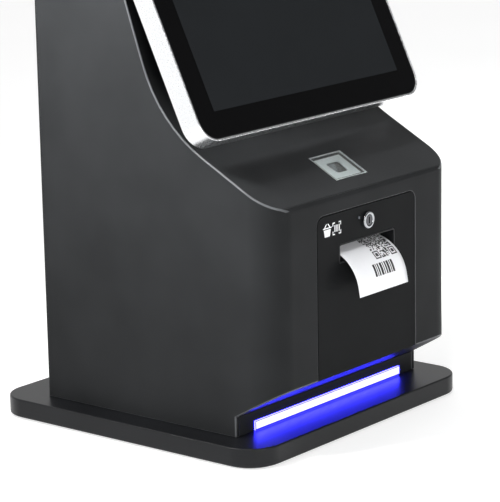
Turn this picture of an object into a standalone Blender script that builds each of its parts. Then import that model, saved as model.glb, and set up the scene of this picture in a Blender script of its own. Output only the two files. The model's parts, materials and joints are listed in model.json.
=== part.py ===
"""A counter-top self checkout kiosk: a painted sheet-steel cabinet on a wide base, with a receipt
printer on its tilting front door and a portrait touch screen leaning back above the shelf.

Metres, +Z up. The origin is on the counter under the middle of the base. The customer stands at -Y.
"""

import math

import bmesh
import bpy
from mathutils import Matrix, Vector

# ---------------------------------------------------------------- driving dimensions

FIT = 0.0003                # gap between pieces that touch
RUNNING = 0.00007           # radial play of a pin in its hole

MAT_THICKNESS = 0.002       # rubber sheet under the base
MAT_INSET = 0.006
BASE_WIDTH = 0.350
BASE_DEPTH = 0.3406
BASE_HEIGHT = 0.0189
BASE_CORNER = 0.034
BASE_WALL = 0.003
BASE_COVER = 0.002
BALLAST_THICKNESS = 0.009

SHEET = 0.002               # cabinet and front door steel
CABINET_WIDTH = 0.2972
CABINET_BACK = 0.1234
CABINET_FRONT = -0.1727
CABINET_HEIGHT = 0.631      # above the base, like every height below
FRONT_CORNER = 0.030
BACK_CORNER = 0.006
TOP_ROUND = 0.012
SLANT_LEAN = math.radians(18.7)
BEND_Y = -0.0375            # where the slanted front would meet the shelf
BEND_HEIGHT = 0.2969
BEND_ROUND = 0.148
FOLD_HEIGHT = 0.2241        # where the shelf would meet the upright front
FOLD_ROUND = 0.008
KICK_Y = -0.1242
KICK_HEIGHT = 0.0203
OVERHANG_HEIGHT = 0.0484    # lower edge of the upright front
KICK_WIDTH = 0.286
FLOOR_SHEET = 0.0015
FLOOR_FLANGE = 0.014

LIGHT_WIDTH = 0.240
LIGHT_HEIGHT = 0.0092
LIGHT_LIFT = 0.0006
LIGHT_PROUD = 0.0010
LIGHT_BOARD = 0.0016

DOOR_WIDTH = 0.161
DOOR_HEIGHT = 0.1597
DOOR_CORNER = 0.009
DOOR_GAP = 0.0008
DOOR_CHEEK = 0.012
CHEEK_SHEET = 0.0015
HINGE_INSET = 0.0065        # pivot above the overhang's outer face
HINGE_SETBACK = 0.003       # pivot ahead of the flange's end
HINGE_PIN_RADIUS = 0.002
HINGE_BRACKET_SHEET = 0.002

LOCK_HEIGHT = 0.1928
LOCK_BODY_RADIUS = 0.0072
LOCK_FLANGE_RADIUS = 0.0086
LOCK_FLANGE = 0.003
LOCK_LENGTH = 0.011         # behind the sheet
LOCK_PLUG_RADIUS = 0.0052
LOCK_CAM_LENGTH = 0.022
LOCK_CAM_WIDTH = 0.010
LOCK_CAM_SHEET = 0.002
LOCK_NUT_THICKNESS = 0.004
STATUS_X = -0.0135
STATUS_HEIGHT = 0.1973
STATUS_RADIUS = 0.0016

SLOT_WIDTH = 0.092
SLOT_HEIGHT = 0.0195
SLOT_CENTRE_HEIGHT = 0.16685
SLOT_CORNER = 0.003
BEZEL_WALL = 0.0012
BEZEL_DEPTH = 0.0165

PAPER_WIDTH = 0.080
PAPER_SHEET = 0.0003
PAPER_RISE = 0.0043         # paper path above the middle of the slot
ROLL_RADIUS = 0.038
ROLL_FRONT_ROOM = 0.0097    # between the front and the roll
ROLL_DROP = 0.063           # roll axis below the paper path
CORE_RADIUS = 0.0085
CORE_BORE = 0.0065
GUIDE_RADIUS = 0.036        # turn of the paper over the guide
BUCKET_PLAY = 0.0015
BUCKET_WALL = 0.0015
CHASSIS_SHEET = 0.0015
CHASSIS_HALF_WIDTH = 0.0505
PLATEN_SETBACK = 0.0377
PLATEN_RADIUS = 0.007
PLATEN_SHAFT_RADIUS = 0.0025
CUT_SETBACK = 0.0231        # cutting line behind the front
BLADE_SHEET = 0.001
BLADE_HEIGHT = 0.0185
BLADE_REST = 0.0055         # blade edge below the paper
GEAR_MODULE = 0.0008
PLATEN_TEETH = 18
IDLER_TEETH = 24
PINION_TEETH = 12
GEAR_WIDTH = 0.005
GEAR_OFFSET = 0.0015        # gears beyond the side plate
IDLER_BEARING = math.radians(280)
PINION_BEARING = math.radians(250)
MOTOR_RADIUS = 0.012
MOTOR_LENGTH = 0.0155
RECEIPT_LEAN = math.radians(18)
RECEIPT_LEAD = 0.0114
RECEIPT_CURL = 0.042
RECEIPT_HANG = math.radians(80)
RECEIPT_TAIL = 0.0095

SCANNER_WIDTH = 0.050
SCANNER_LENGTH = 0.0376
SCANNER_GLASS = 0.0025
SCANNER_UP_SHELF = 0.0395   # middle of the glass from the front fold
SCANNER_RIM = 0.003
SCANNER_BEZEL = 0.0015
SCANNER_DEPTH = 0.018

SCREEN_WIDTH = 0.350
SCREEN_LENGTH = 0.573
SCREEN_DEPTH = 0.0242
SCREEN_CORNER = 0.022
SCREEN_RIM = 0.0022
SCREEN_LEAN = math.radians(25.3)
SCREEN_GAP = 0.003962       # between its back and the cabinet's top front edge
SCREEN_FRONT_HEIGHT = 0.2888 # lower front edge
GLASS_THICKNESS = 0.003
PANEL_WIDTH = 0.312
PANEL_LENGTH = 0.540
PANEL_THICKNESS = 0.0105
SCREEN_COVER = 0.002
SCREEN_COVER_INSET = 0.0023
BRACKET_WIDTH = 0.120
BRACKET_LENGTH = 0.092
BRACKET_SHEET = 0.0025
CABLE_HOLE_RADIUS = 0.022

REAR_DOOR_WIDTH = 0.250
REAR_DOOR_LIFT = 0.044
REAR_DOOR_DROP = 0.031      # from the cabinet's top
REAR_SHEET = 0.0015
REAR_GAP = 0.0012
REAR_FLANGE = 0.008
REAR_HINGE_INSET = 0.010
REAR_HINGE_DEPTH = 0.004
REAR_PIN_RADIUS = 0.0015
REAR_KNUCKLE_RADIUS = 0.0036
REAR_KNUCKLE_LENGTH = 0.012
REAR_LOCK_INSET = 0.012
VENT_WIDTH = 0.076
VENT_HEIGHT = 0.004
VENT_ROUND = 0.0015
VENT_PITCH = 0.0085
VENT_COUNT = 9
VENT_LOW_HEIGHT = 0.125
FAN_DROP = 0.079            # fan axis below the top of its door
FAN_SIZE = 0.080
FAN_THICKNESS = 0.020
FAN_BORE_RADIUS = 0.0383
FAN_HUB_RADIUS = 0.016
FAN_BLADES = 7
FAN_PLAY = 0.0012

INLET_X = -0.062
SWITCH_X = -0.022
INLET_HEIGHT = 0.0225
INLET_WIDTH = 0.0275
INLET_TALL = 0.0200
INLET_FLANGE = 0.0025
INLET_DEPTH = 0.020
SWITCH_WIDTH = 0.0195
SWITCH_TALL = 0.0135
ROCKER_THROW = math.radians(14)

# ---------------------------------------------------------------- places worked out from them

BASE_TOP = MAT_THICKNESS + BASE_HEIGHT
CABINET_TOP = BASE_TOP + CABINET_HEIGHT
KICK_TOP = BASE_TOP + KICK_HEIGHT
OVERHANG = BASE_TOP + OVERHANG_HEIGHT
FOLD = BASE_TOP + FOLD_HEIGHT
BEND = BASE_TOP + BEND_HEIGHT
DOOR_TOP = OVERHANG + DOOR_HEIGHT
LOCK = BASE_TOP + LOCK_HEIGHT
SLOT = BASE_TOP + SLOT_CENTRE_HEIGHT
SHELF_SLOPE = math.atan2(BEND - FOLD, BEND_Y - CABINET_FRONT)
SLANT_TOP_Y = BEND_Y + math.tan(SLANT_LEAN) * (CABINET_TOP - BEND)
SCREEN_BACK_Y = SLANT_TOP_Y - SCREEN_GAP      # at the height of the cabinet's top
SCREEN_RISE = CABINET_HEIGHT - SCREEN_FRONT_HEIGHT
SCREEN_FRONT_Y = SCREEN_BACK_Y - SCREEN_DEPTH / math.cos(SCREEN_LEAN) - math.tan(SCREEN_LEAN) * SCREEN_RISE
UNDER = Vector((CABINET_FRONT - KICK_Y, OVERHANG - KICK_TOP)).normalized()
UNDER_IN = Vector((UNDER.y, -UNDER.x))
HINGE = Vector((KICK_Y, KICK_TOP)) + UNDER * (DOOR_GAP + HINGE_SETBACK) + UNDER_IN * HINGE_INSET
LIGHT_BOARD_Y = KICK_Y + SHEET + 2 * FIT
PAPER = SLOT + PAPER_RISE
ROLL = Vector((CABINET_FRONT + ROLL_FRONT_ROOM + ROLL_RADIUS, PAPER - ROLL_DROP))
PLATEN = Vector((CABINET_FRONT + PLATEN_SETBACK, PAPER - PAPER_SHEET / 2 - FIT - PLATEN_RADIUS))
CUT_Y = CABINET_FRONT + CUT_SETBACK
WEB_BACK = ROLL.x + ROLL_RADIUS + FIT + PAPER_SHEET / 2
GUIDE = Vector((WEB_BACK - GUIDE_RADIUS, PAPER - GUIDE_RADIUS))
LID_INNER = GUIDE_RADIUS + 0.0015
LID_OUTER = LID_INNER + 0.002
LID_ROD = Vector((GUIDE.x + LID_OUTER + 0.004, GUIDE.y - 0.004))
LID_ROD_RADIUS = 0.002
INNER_HALF = CHASSIS_HALF_WIDTH - CHASSIS_SHEET
GEAR_START = CHASSIS_HALF_WIDTH + GEAR_OFFSET
GEAR_END = GEAR_START + GEAR_WIDTH
PLATEN_PITCH = GEAR_MODULE * PLATEN_TEETH / 2
IDLER_PITCH = GEAR_MODULE * IDLER_TEETH / 2
PINION_PITCH = GEAR_MODULE * PINION_TEETH / 2
IDLER = PLATEN + (PLATEN_PITCH + IDLER_PITCH) * Vector((math.cos(IDLER_BEARING), math.sin(IDLER_BEARING)))
PINION = IDLER + (IDLER_PITCH + PINION_PITCH) * Vector((math.cos(PINION_BEARING), math.sin(PINION_BEARING)))
REAR_DOOR_LOW = BASE_TOP + REAR_DOOR_LIFT
REAR_DOOR_TOP = CABINET_TOP - REAR_DOOR_DROP
REAR_AXIS = Vector((REAR_HINGE_INSET - REAR_DOOR_WIDTH / 2, CABINET_BACK - REAR_HINGE_DEPTH))
REAR_LOCK = Vector((REAR_DOOR_WIDTH / 2 - REAR_LOCK_INSET, (REAR_DOOR_LOW + REAR_DOOR_TOP) / 2))
REAR_CAM_Y = CABINET_BACK - REAR_SHEET - REAR_FLANGE - FIT - LOCK_CAM_SHEET
FAN = REAR_DOOR_TOP - FAN_DROP
FAN_BACK = CABINET_BACK - REAR_SHEET - FIT
INLET = BASE_TOP + INLET_HEIGHT

# ---------------------------------------------------------------- scene, materials


def clear_scene():
    for old in list(bpy.data.objects):
        bpy.data.objects.remove(old, do_unlink=True)
    for old in list(bpy.data.collections):
        bpy.data.collections.remove(old)


def new_collection(name):
    collection = bpy.data.collections.new(name)
    bpy.context.scene.collection.children.link(collection)
    return collection


clear_scene()
PARTS = new_collection("self_checkout_kiosk")
CUTTERS = new_collection("cutters")


def paint(obj, name, color, roughness, metallic=0.0):
    """Gives the piece a Principled material of its own."""
    material = bpy.data.materials.new(name)
    material.use_nodes = True
    shader = material.node_tree.nodes["Principled BSDF"]
    shader.inputs["Base Color"].default_value = (*color, 1.0)
    shader.inputs["Roughness"].default_value = roughness
    shader.inputs["Metallic"].default_value = metallic
    obj.data.materials.clear()
    obj.data.materials.append(material)
    return obj


def powder(obj):
    return paint(obj, obj.name + "_powder_coat", (0.032, 0.033, 0.034), 0.55)


def steel(obj):
    return paint(obj, obj.name + "_zinc_steel", (0.55, 0.56, 0.57), 0.38, 1.0)


def plastic(obj, color=(0.02, 0.02, 0.022), roughness=0.5):
    return paint(obj, obj.name + "_plastic", color, roughness)


# ---------------------------------------------------------------- outlines in two dimensions


def circle(centre, radius, count=24, start=0.0):
    turn = 2 * math.pi / count
    return [
        (centre[0] + radius * math.cos(start + i * turn), centre[1] + radius * math.sin(start + i * turn))
        for i in range(count)
    ]


def arc(centre, radius, start, end, count):
    return [
        (
            centre[0] + radius * math.cos(start + (end - start) * i / count),
            centre[1] + radius * math.sin(start + (end - start) * i / count),
        )
        for i in range(count + 1)
    ]


def rounded(corners, count=6):
    """Turns corners (u, v, radius) into points, with an arc at each corner that has a radius."""
    points = []
    for i, (u, v, radius) in enumerate(corners):
        here = Vector((u, v))
        if radius <= 0:
            points.append((u, v))
            continue
        back = (Vector(corners[i - 1][:2]) - here).normalized()
        ahead = (Vector(corners[(i + 1) % len(corners)][:2]) - here).normalized()
        half = back.angle(ahead) / 2
        centre = here + (back + ahead).normalized() * radius / math.sin(half)
        first = here + back * radius / math.tan(half) - centre
        last = here + ahead * radius / math.tan(half) - centre
        start = math.atan2(first.y, first.x)
        sweep = math.remainder(math.atan2(last.y, last.x) - start, 2 * math.pi)
        points += arc(centre, radius, start, start + sweep, count)
    return points


def rectangle(low, high, radius=0.0, count=6):
    (u0, v0), (u1, v1) = low, high
    return rounded([(u0, v0, radius), (u1, v0, radius), (u1, v1, radius), (u0, v1, radius)], count)


def centred(width, height, radius=0.0, count=6, centre=(0.0, 0.0)):
    u, v = centre
    return rectangle((u - width / 2, v - height / 2), (u + width / 2, v + height / 2), radius, count)


def inset(corners, distance):
    """Moves each side of an anticlockwise outline inwards and keeps its rounds parallel."""
    moved = []
    for i, (u, v, radius) in enumerate(corners):
        here = Vector((u, v))
        into = (here - Vector(corners[i - 1][:2])).normalized()
        out = (Vector(corners[(i + 1) % len(corners)][:2]) - here).normalized()
        turn = into.x * out.y - into.y * out.x
        normals = Vector((-into.y, into.x)) + Vector((-out.y, out.x))
        shift = normals * distance / (1 + into.dot(out))
        new_radius = radius - distance if turn > 0 else radius + distance
        moved.append((u + shift.x, v + shift.y, max(new_radius, 0.0) if radius > 0 else 0.0))
    return moved


def gear_outline(centre, teeth, phase):
    """Involute teeth with a little backlash; phase turns the first tooth."""
    pitch = GEAR_MODULE * teeth / 2
    tip = pitch + 0.9 * GEAR_MODULE
    root = pitch - 1.2 * GEAR_MODULE
    base = pitch * math.cos(math.radians(20))
    half_tooth = math.pi / (2 * teeth) - 0.06 * GEAR_MODULE / pitch

    def flank(radius):
        if radius <= base:
            return 0.0
        return math.sqrt((radius / base) ** 2 - 1) - math.acos(base / radius)

    radii = [max(base, root), (max(base, root) + pitch) / 2, pitch, tip]
    points = []
    for tooth in range(teeth):
        middle = phase + 2 * math.pi * tooth / teeth
        rise = [(r, half_tooth + flank(pitch) - flank(r)) for r in radii]
        side = [(root, rise[0][1])] + rise if root < radii[0] else rise
        for r, half in side:
            points.append((r, middle - half))
        for r, half in reversed(side):
            points.append((r, middle + half))
    return [(centre[0] + r * math.cos(a), centre[1] + r * math.sin(a)) for r, a in points]


# ---------------------------------------------------------------- solids

TURN = {
    "X": Matrix(((0, 0, 1, 0), (1, 0, 0, 0), (0, 1, 0, 0), (0, 0, 0, 1))),
    "Y": Matrix(((1, 0, 0, 0), (0, 0, -1, 0), (0, 1, 0, 0), (0, 0, 0, 1))),
    "Z": Matrix.Identity(4),
}


def prism(name, outlines, axis, start, end, collection=None):
    """Extrudes a flat outline, and the holes that follow it, along an axis from start to end.

    The outline is in (y, z) along X, in (x, z) along Y and in (x, y) along Z.
    """
    curve = bpy.data.curves.new(name, "CURVE")
    curve.dimensions = "2D"
    curve.fill_mode = "BOTH"
    curve.extrude = abs(end - start) / 2
    for outline in outlines:
        spline = curve.splines.new("POLY")
        spline.points.add(len(outline) - 1)
        for point, (u, v) in zip(spline.points, outline):
            point.co = (u, v, 0, 1)
        spline.use_cyclic_u = True
    draft = bpy.data.objects.new(name, curve)
    PARTS.objects.link(draft)
    middle = (start + end) / 2
    draft.matrix_world = TURN[axis] @ Matrix.Translation((0, 0, -middle if axis == "Y" else middle))
    bpy.context.view_layer.update()
    graph = bpy.context.evaluated_depsgraph_get()
    mesh = bpy.data.meshes.new_from_object(draft.evaluated_get(graph))
    mesh.transform(draft.matrix_world)
    bpy.data.objects.remove(draft)
    welded = bmesh.new()
    welded.from_mesh(mesh)
    bmesh.ops.remove_doubles(welded, verts=welded.verts, dist=1e-6)
    bmesh.ops.recalc_face_normals(welded, faces=welded.faces)
    welded.to_mesh(mesh)
    welded.free()
    mesh.materials.clear()
    mesh.shade_smooth()
    mesh.set_sharp_from_angle(angle=math.radians(30))
    obj = bpy.data.objects.new(name, mesh)
    (collection or PARTS).objects.link(obj)
    if collection is CUTTERS:
        obj.hide_render = True
        obj.display_type = "WIRE"
    return obj


def block(name, low, high, collection=None):
    return prism(name, [rectangle(low[:2], high[:2])], "Z", low[2], high[2], collection)


def rod(name, centre, radius, axis, start, end, count=24, bore=0.0, collection=None):
    outlines = [circle(centre, radius, count)]
    if bore > 0:
        outlines.append(circle(centre, bore, count))
    return prism(name, outlines, axis, start, end, collection)


def combine(obj, tool, operation="DIFFERENCE"):
    """Adds a Boolean with a helper, which moves to the cutters and isn't rendered."""
    for collection in list(tool.users_collection):
        collection.objects.unlink(tool)
    CUTTERS.objects.link(tool)
    tool.hide_render = True
    tool.display_type = "WIRE"
    modifier = obj.modifiers.new(operation.lower() + "_" + tool.name, "BOOLEAN")
    modifier.operation = operation
    modifier.solver = "EXACT"
    modifier.object = tool
    return obj


def weld_on(obj, tool):
    return combine(obj, tool, "UNION")


def pivot(name, place):
    """An empty on a joint's axis, which carries the pieces that turn or slide there."""
    empty = bpy.data.objects.new(name, None)
    empty.location = place
    empty.empty_display_size = 0.02
    PARTS.objects.link(empty)
    bpy.context.view_layer.update()
    return empty


def carry(empty, *pieces):
    for piece in pieces:
        piece.parent = empty
        piece.matrix_parent_inverse = empty.matrix_world.inverted()


def tilt(name, place, angle):
    """An empty whose X is the world's X and whose Y climbs at the angle; Z is the outward normal."""
    empty = bpy.data.objects.new(name, None)
    empty.location = place
    empty.rotation_euler = (angle, 0, 0)
    PARTS.objects.link(empty)
    bpy.context.view_layer.update()
    return empty


def stand(empty, *pieces):
    """Places pieces that are drawn in the tilted empty's own axes."""
    for piece in pieces:
        piece.parent = empty


# ---------------------------------------------------------------- base


def base_pieces():
    def outline(by):
        return centred(BASE_WIDTH - 2 * by, BASE_DEPTH - 2 * by, BASE_CORNER - by, 10)

    mat = prism("anti_slip_mat", [outline(MAT_INSET)], "Z", 0, MAT_THICKNESS - FIT)
    plastic(mat, (0.012, 0.012, 0.012), 0.9)

    tray = prism("base_tray", [outline(0)], "Z", MAT_THICKNESS, BASE_TOP)
    hollow = prism("base_hollow", [outline(BASE_WALL)], "Z", 0, BASE_TOP - BASE_WALL)
    powder(combine(tray, hollow))

    low = MAT_THICKNESS
    cover = prism("base_bottom_cover", [outline(BASE_WALL + FIT)], "Z", low, low + BASE_COVER)
    steel(cover)
    low += BASE_COVER + FIT
    ballast = prism("ballast_plate", [outline(BASE_WALL + 0.004)], "Z", low, low + BALLAST_THICKNESS)
    paint(ballast, "ballast_plate_steel", (0.12, 0.11, 0.10), 0.7, 1.0)


# ---------------------------------------------------------------- cabinet


def cabinet_corners():
    """Side view of the cabinet, anticlockwise in (y, z) from the foot of the kick panel."""
    top_round = min(TOP_ROUND, (CABINET_BACK - SLANT_TOP_Y) / 2)
    return [
        (KICK_Y, BASE_TOP + FIT, 0),
        (CABINET_BACK, BASE_TOP + FIT, 0),
        (CABINET_BACK, CABINET_TOP, top_round),
        (SLANT_TOP_Y, CABINET_TOP, top_round),
        (BEND_Y, BEND, BEND_ROUND),
        (CABINET_FRONT, FOLD, FOLD_ROUND),
        (CABINET_FRONT, OVERHANG, 0),
        (KICK_Y, KICK_TOP, 0),
    ]


def cabinet_plan(by):
    x, front, back = CABINET_WIDTH / 2 - by, CABINET_FRONT + by, CABINET_BACK - by
    return rounded(
        [
            (-x, front, FRONT_CORNER - by),
            (x, front, FRONT_CORNER - by),
            (x, back, BACK_CORNER - by),
            (-x, back, BACK_CORNER - by),
        ],
        8,
    )


def cabinet_body(name, by, collection=None):
    """The cabinet's outer form, or with by its hollow, which runs out through the bottom."""
    corners = inset(cabinet_corners(), by) if by else cabinet_corners()
    if by:
        corners[0] = (corners[0][0], 0, 0)
        corners[1] = (corners[1][0], 0, 0)
    half = CABINET_WIDTH / 2 - by
    body = prism(name, [rounded(corners, 8)], "X", -half, half, collection)
    plan = prism(name + "_plan", [cabinet_plan(by)], "Z", -0.01, CABINET_TOP + 0.01, CUTTERS)
    return combine(body, plan, "INTERSECT")


def front_opening():
    half = DOOR_WIDTH / 2 + DOOR_GAP
    top = DOOR_TOP + DOOR_GAP
    radius = DOOR_CORNER + DOOR_GAP
    outline = rounded([(-half, KICK_TOP, 0), (half, KICK_TOP, 0), (half, top, radius), (-half, top, radius)])
    return prism("front_opening", [outline], "Y", CABINET_FRONT - 0.01, KICK_Y + SHEET + 0.001, CUTTERS)


def cabinet_pieces():
    shell = cabinet_body("cabinet_shell", 0)
    combine(shell, cabinet_body("cabinet_hollow", SHEET, CUTTERS))
    combine(shell, front_opening())
    half = KICK_WIDTH / 2
    kick_gap = (-half, KICK_Y - 0.001, BASE_TOP - 0.001), (half, KICK_Y + SHEET + 0.001, KICK_TOP + FIT)
    combine(shell, block("kick_opening", *kick_gap))
    half = REAR_DOOR_WIDTH / 2 + REAR_GAP
    rear = rectangle((-half, REAR_DOOR_LOW - REAR_GAP), (half, REAR_DOOR_TOP + REAR_GAP), 0.003, 3)
    combine(shell, prism("rear_opening", [rear], "Y", CABINET_BACK - 0.006, CABINET_BACK + 0.01))
    for name, x, wide, tall in (
        ("inlet_opening", INLET_X, INLET_WIDTH, INLET_TALL),
        ("switch_opening", SWITCH_X, SWITCH_WIDTH, SWITCH_TALL),
    ):
        hole = centred(wide + 2 * FIT, tall + 2 * FIT, 0, 6, (x, INLET))
        combine(shell, prism(name, [hole], "Y", CABINET_BACK - 0.006, CABINET_BACK + 0.01))
    middle = bracket_middle()
    cable = rod("cable_hole", (0, middle.y), CABLE_HOLE_RADIUS, "Y", middle.x - 0.04, middle.x + 0.03)
    combine(shell, cable)
    window = prism("scanner_opening", [centred(SCANNER_WIDTH + 2 * FIT, SCANNER_LENGTH + 2 * FIT)],
                   "Z", -0.012, 0.012)
    stand(SCANNER_TILT, window)
    combine(shell, window)
    powder(shell)

    floor_low = BASE_TOP + FIT
    x, front, back = CABINET_WIDTH / 2 - SHEET - FIT, KICK_Y + SHEET + FIT, CABINET_BACK - SHEET - FIT
    tray = rounded([(-x, front, 0), (x, front, 0), (x, back, BACK_CORNER), (-x, back, BACK_CORNER)], 3)
    floor = prism("cabinet_floor", [tray], "Z", floor_low, floor_low + FLOOR_FLANGE)
    inner = (FLOOR_SHEET - x, -1, floor_low + FLOOR_SHEET), (x - FLOOR_SHEET, 1, BASE_TOP + 1)
    steel(combine(floor, block("floor_hollow", *inner)))

    half = KICK_WIDTH / 2 - FIT
    kick = block("kick_panel", (-half, KICK_Y, BASE_TOP + FIT), (half, KICK_Y + SHEET, KICK_TOP - FIT))
    half = LIGHT_WIDTH / 2 + FIT
    notch_top = BASE_TOP + LIGHT_LIFT + LIGHT_HEIGHT + FIT
    notch = (-half, KICK_Y - 0.01, BASE_TOP), (half, KICK_Y + 0.01, notch_top)
    powder(combine(kick, block("light_notch", *notch)))

    half = LIGHT_WIDTH / 2
    low = BASE_TOP + LIGHT_LIFT
    start, end = (-half, KICK_Y - LIGHT_PROUD, low), (half, KICK_Y + SHEET, low + LIGHT_HEIGHT)
    bar = block("led_diffuser", start, end)
    paint(bar, "led_diffuser_opal_acrylic", (0.75, 0.85, 1.0), 0.3)
    floor_edge = floor_low + FLOOR_SHEET + FIT
    strip = block("led_strip", (0.002 - half, LIGHT_BOARD_Y, floor_edge),
                  (half - 0.002, LIGHT_BOARD_Y + LIGHT_BOARD, floor_edge + 0.008))
    paint(strip, "led_strip_board", (0.8, 0.8, 0.78), 0.5)


# ---------------------------------------------------------------- front door


def flange_end(depth):
    """A point at the free end of the door's lower flange, a depth inside its outer face."""
    return Vector((KICK_Y, KICK_TOP)) + UNDER * DOOR_GAP + UNDER_IN * depth


def overhang_corner(depth):
    """Where the parallels to the front and to the overhang meet, a depth inside both."""
    y = CABINET_FRONT + depth
    start = flange_end(depth)
    return Vector((y, start.y + UNDER.y * (y - start.x) / UNDER.x))


def door_pieces():
    half = DOOR_WIDTH / 2
    cheek = [
        (CABINET_FRONT, DOOR_TOP),
        overhang_corner(0),
        flange_end(0),
        flange_end(DOOR_CHEEK),
        overhang_corner(DOOR_CHEEK),
        (CABINET_FRONT + DOOR_CHEEK, DOOR_TOP),
    ]
    door = prism("printer_door", [cheek], "X", -half, half)
    far = flange_end(SHEET) - UNDER * 0.02
    hollow = [
        (CABINET_FRONT + SHEET, DOOR_TOP + 0.01),
        overhang_corner(SHEET),
        far,
        far + UNDER_IN * 0.06,
        (CABINET_FRONT + 0.06, DOOR_TOP + 0.01),
    ]
    half -= CHEEK_SHEET
    combine(door, prism("door_hollow", [hollow], "X", -half, half))
    half = DOOR_WIDTH / 2
    low = KICK_TOP - 0.01
    top = (half, DOOR_TOP, DOOR_CORNER), (-half, DOOR_TOP, DOOR_CORNER)
    face = rounded([(-half, low, 0), (half, low, 0), *top])
    combine(door, prism("door_face", [face], "Y", CABINET_FRONT - 0.01, KICK_Y + 0.03), "INTERSECT")
    front, behind = CABINET_FRONT - 0.01, CABINET_FRONT + 0.008
    slot = centred(SLOT_WIDTH, SLOT_HEIGHT, SLOT_CORNER, 4, (0, SLOT))
    combine(door, prism("receipt_slot", [slot], "Y", front, behind))
    combine(door, rod("lock_hole", (0, LOCK), LOCK_BODY_RADIUS + FIT, "Y", front, behind))
    status = (STATUS_X, BASE_TOP + STATUS_HEIGHT)
    combine(door, rod("status_hole", status, STATUS_RADIUS + FIT, "Y", front, behind, 12))
    hinge_hole = rod("door_hinge_hole", HINGE, HINGE_PIN_RADIUS + RUNNING, "X", -0.1, 0.1)
    powder(combine(door, hinge_hole))

    mouth = centred(SLOT_WIDTH - 2 * FIT, SLOT_HEIGHT - 2 * FIT, SLOT_CORNER, 4, (0, SLOT))
    wall = 2 * (BEZEL_WALL + FIT)
    throat = centred(SLOT_WIDTH - wall, SLOT_HEIGHT - wall, SLOT_CORNER - BEZEL_WALL, 4, (0, SLOT))
    plastic(prism("receipt_bezel", [mouth, throat], "Y", CABINET_FRONT, CABINET_FRONT + BEZEL_DEPTH))

    lens = rod("status_light", status, STATUS_RADIUS, "Y", CABINET_FRONT - 0.0004, CABINET_FRONT + 0.005, 12)
    plastic(lens, (0.05, 0.06, 0.07), 0.2)

    carry(DOOR_PIVOT, door, bpy.data.objects["receipt_bezel"], lens)
    for side, sign in (("left", -1), ("right", 1)):
        hinge_bracket("door_hinge_bracket_" + side, sign)


def hinge_bracket(name, sign):
    """A plate that stands on the floor tray beside the door and holds its pivot pin."""
    floor = BASE_TOP + FIT + FLOOR_SHEET + FIT
    back = LIGHT_BOARD_Y + LIGHT_BOARD + FIT
    reach = HINGE_INSET - SHEET - FIT
    eye = arc(HINGE, reach, math.radians(60), math.radians(290), 10)
    foot = (back, floor), (back + 0.016, floor), (back + 0.016, KICK_TOP)
    plate = [*eye, (back, KICK_TOP + SHEET), *foot]
    inner = sign * (DOOR_WIDTH / 2 + 2 * DOOR_GAP)
    outer = inner + sign * HINGE_BRACKET_SHEET
    bracket = prism(name, [plate], "X", min(inner, outer), max(inner, outer))
    tip = sign * (DOOR_WIDTH / 2 - 3 * CHEEK_SHEET)
    root = outer - sign * 0.0005
    pin = rod(name + "_pin", HINGE, HINGE_PIN_RADIUS, "X", min(tip, root), max(tip, root))
    steel(weld_on(bracket, pin))


def lock_pieces():
    inside = CABINET_FRONT + SHEET
    end = inside + LOCK_LENGTH
    centre = (0, LOCK)
    barrel = rod("lock_barrel", centre, LOCK_BODY_RADIUS, "Y", CABINET_FRONT - 0.001, end)
    weld_on(barrel, rod("lock_flange", centre, LOCK_FLANGE_RADIUS, "Y", CABINET_FRONT - LOCK_FLANGE,
                        CABINET_FRONT - FIT))
    bore = LOCK_PLUG_RADIUS + RUNNING
    combine(barrel, rod("lock_bore", centre, bore, "Y", CABINET_FRONT - 0.02, end + 0.01))
    paint(barrel, "lock_barrel_chrome", (0.75, 0.76, 0.78), 0.15, 1.0)

    nut_front = inside + FIT
    corners = circle(centre, LOCK_BODY_RADIUS + 0.0035, 6)
    hole = circle(centre, LOCK_BODY_RADIUS + FIT, 24)
    steel(prism("lock_nut", [corners, hole], "Y", nut_front, nut_front + LOCK_NUT_THICKNESS))

    face = CABINET_FRONT - LOCK_FLANGE + 0.0004
    cam_front = end + FIT
    plug = rod("lock_plug", centre, LOCK_PLUG_RADIUS, "Y", face, cam_front - FIT)
    key = centred(0.0016, 0.006, 0, 6, centre)
    combine(plug, prism("key_slot", [key], "Y", face - 0.01, face + 0.007))
    paint(plug, "lock_plug_chrome", (0.7, 0.7, 0.72), 0.2, 1.0)

    half = LOCK_CAM_WIDTH / 2
    cam = arc(centre, half, math.radians(90), math.radians(270), 8) + [
        (LOCK_CAM_LENGTH, LOCK - half * 0.8),
        (LOCK_CAM_LENGTH, LOCK + half * 0.8),
    ]
    steel(prism("lock_cam", [cam], "Y", cam_front, cam_front + LOCK_CAM_SHEET))
    carry(DOOR_PIVOT, barrel, bpy.data.objects["lock_nut"])
    turning = pivot("lock_axis", (0, CABINET_FRONT, LOCK))
    carry(turning, plug, bpy.data.objects["lock_cam"])
    carry(DOOR_PIVOT, turning)


# ---------------------------------------------------------------- receipt printer on the door


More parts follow.
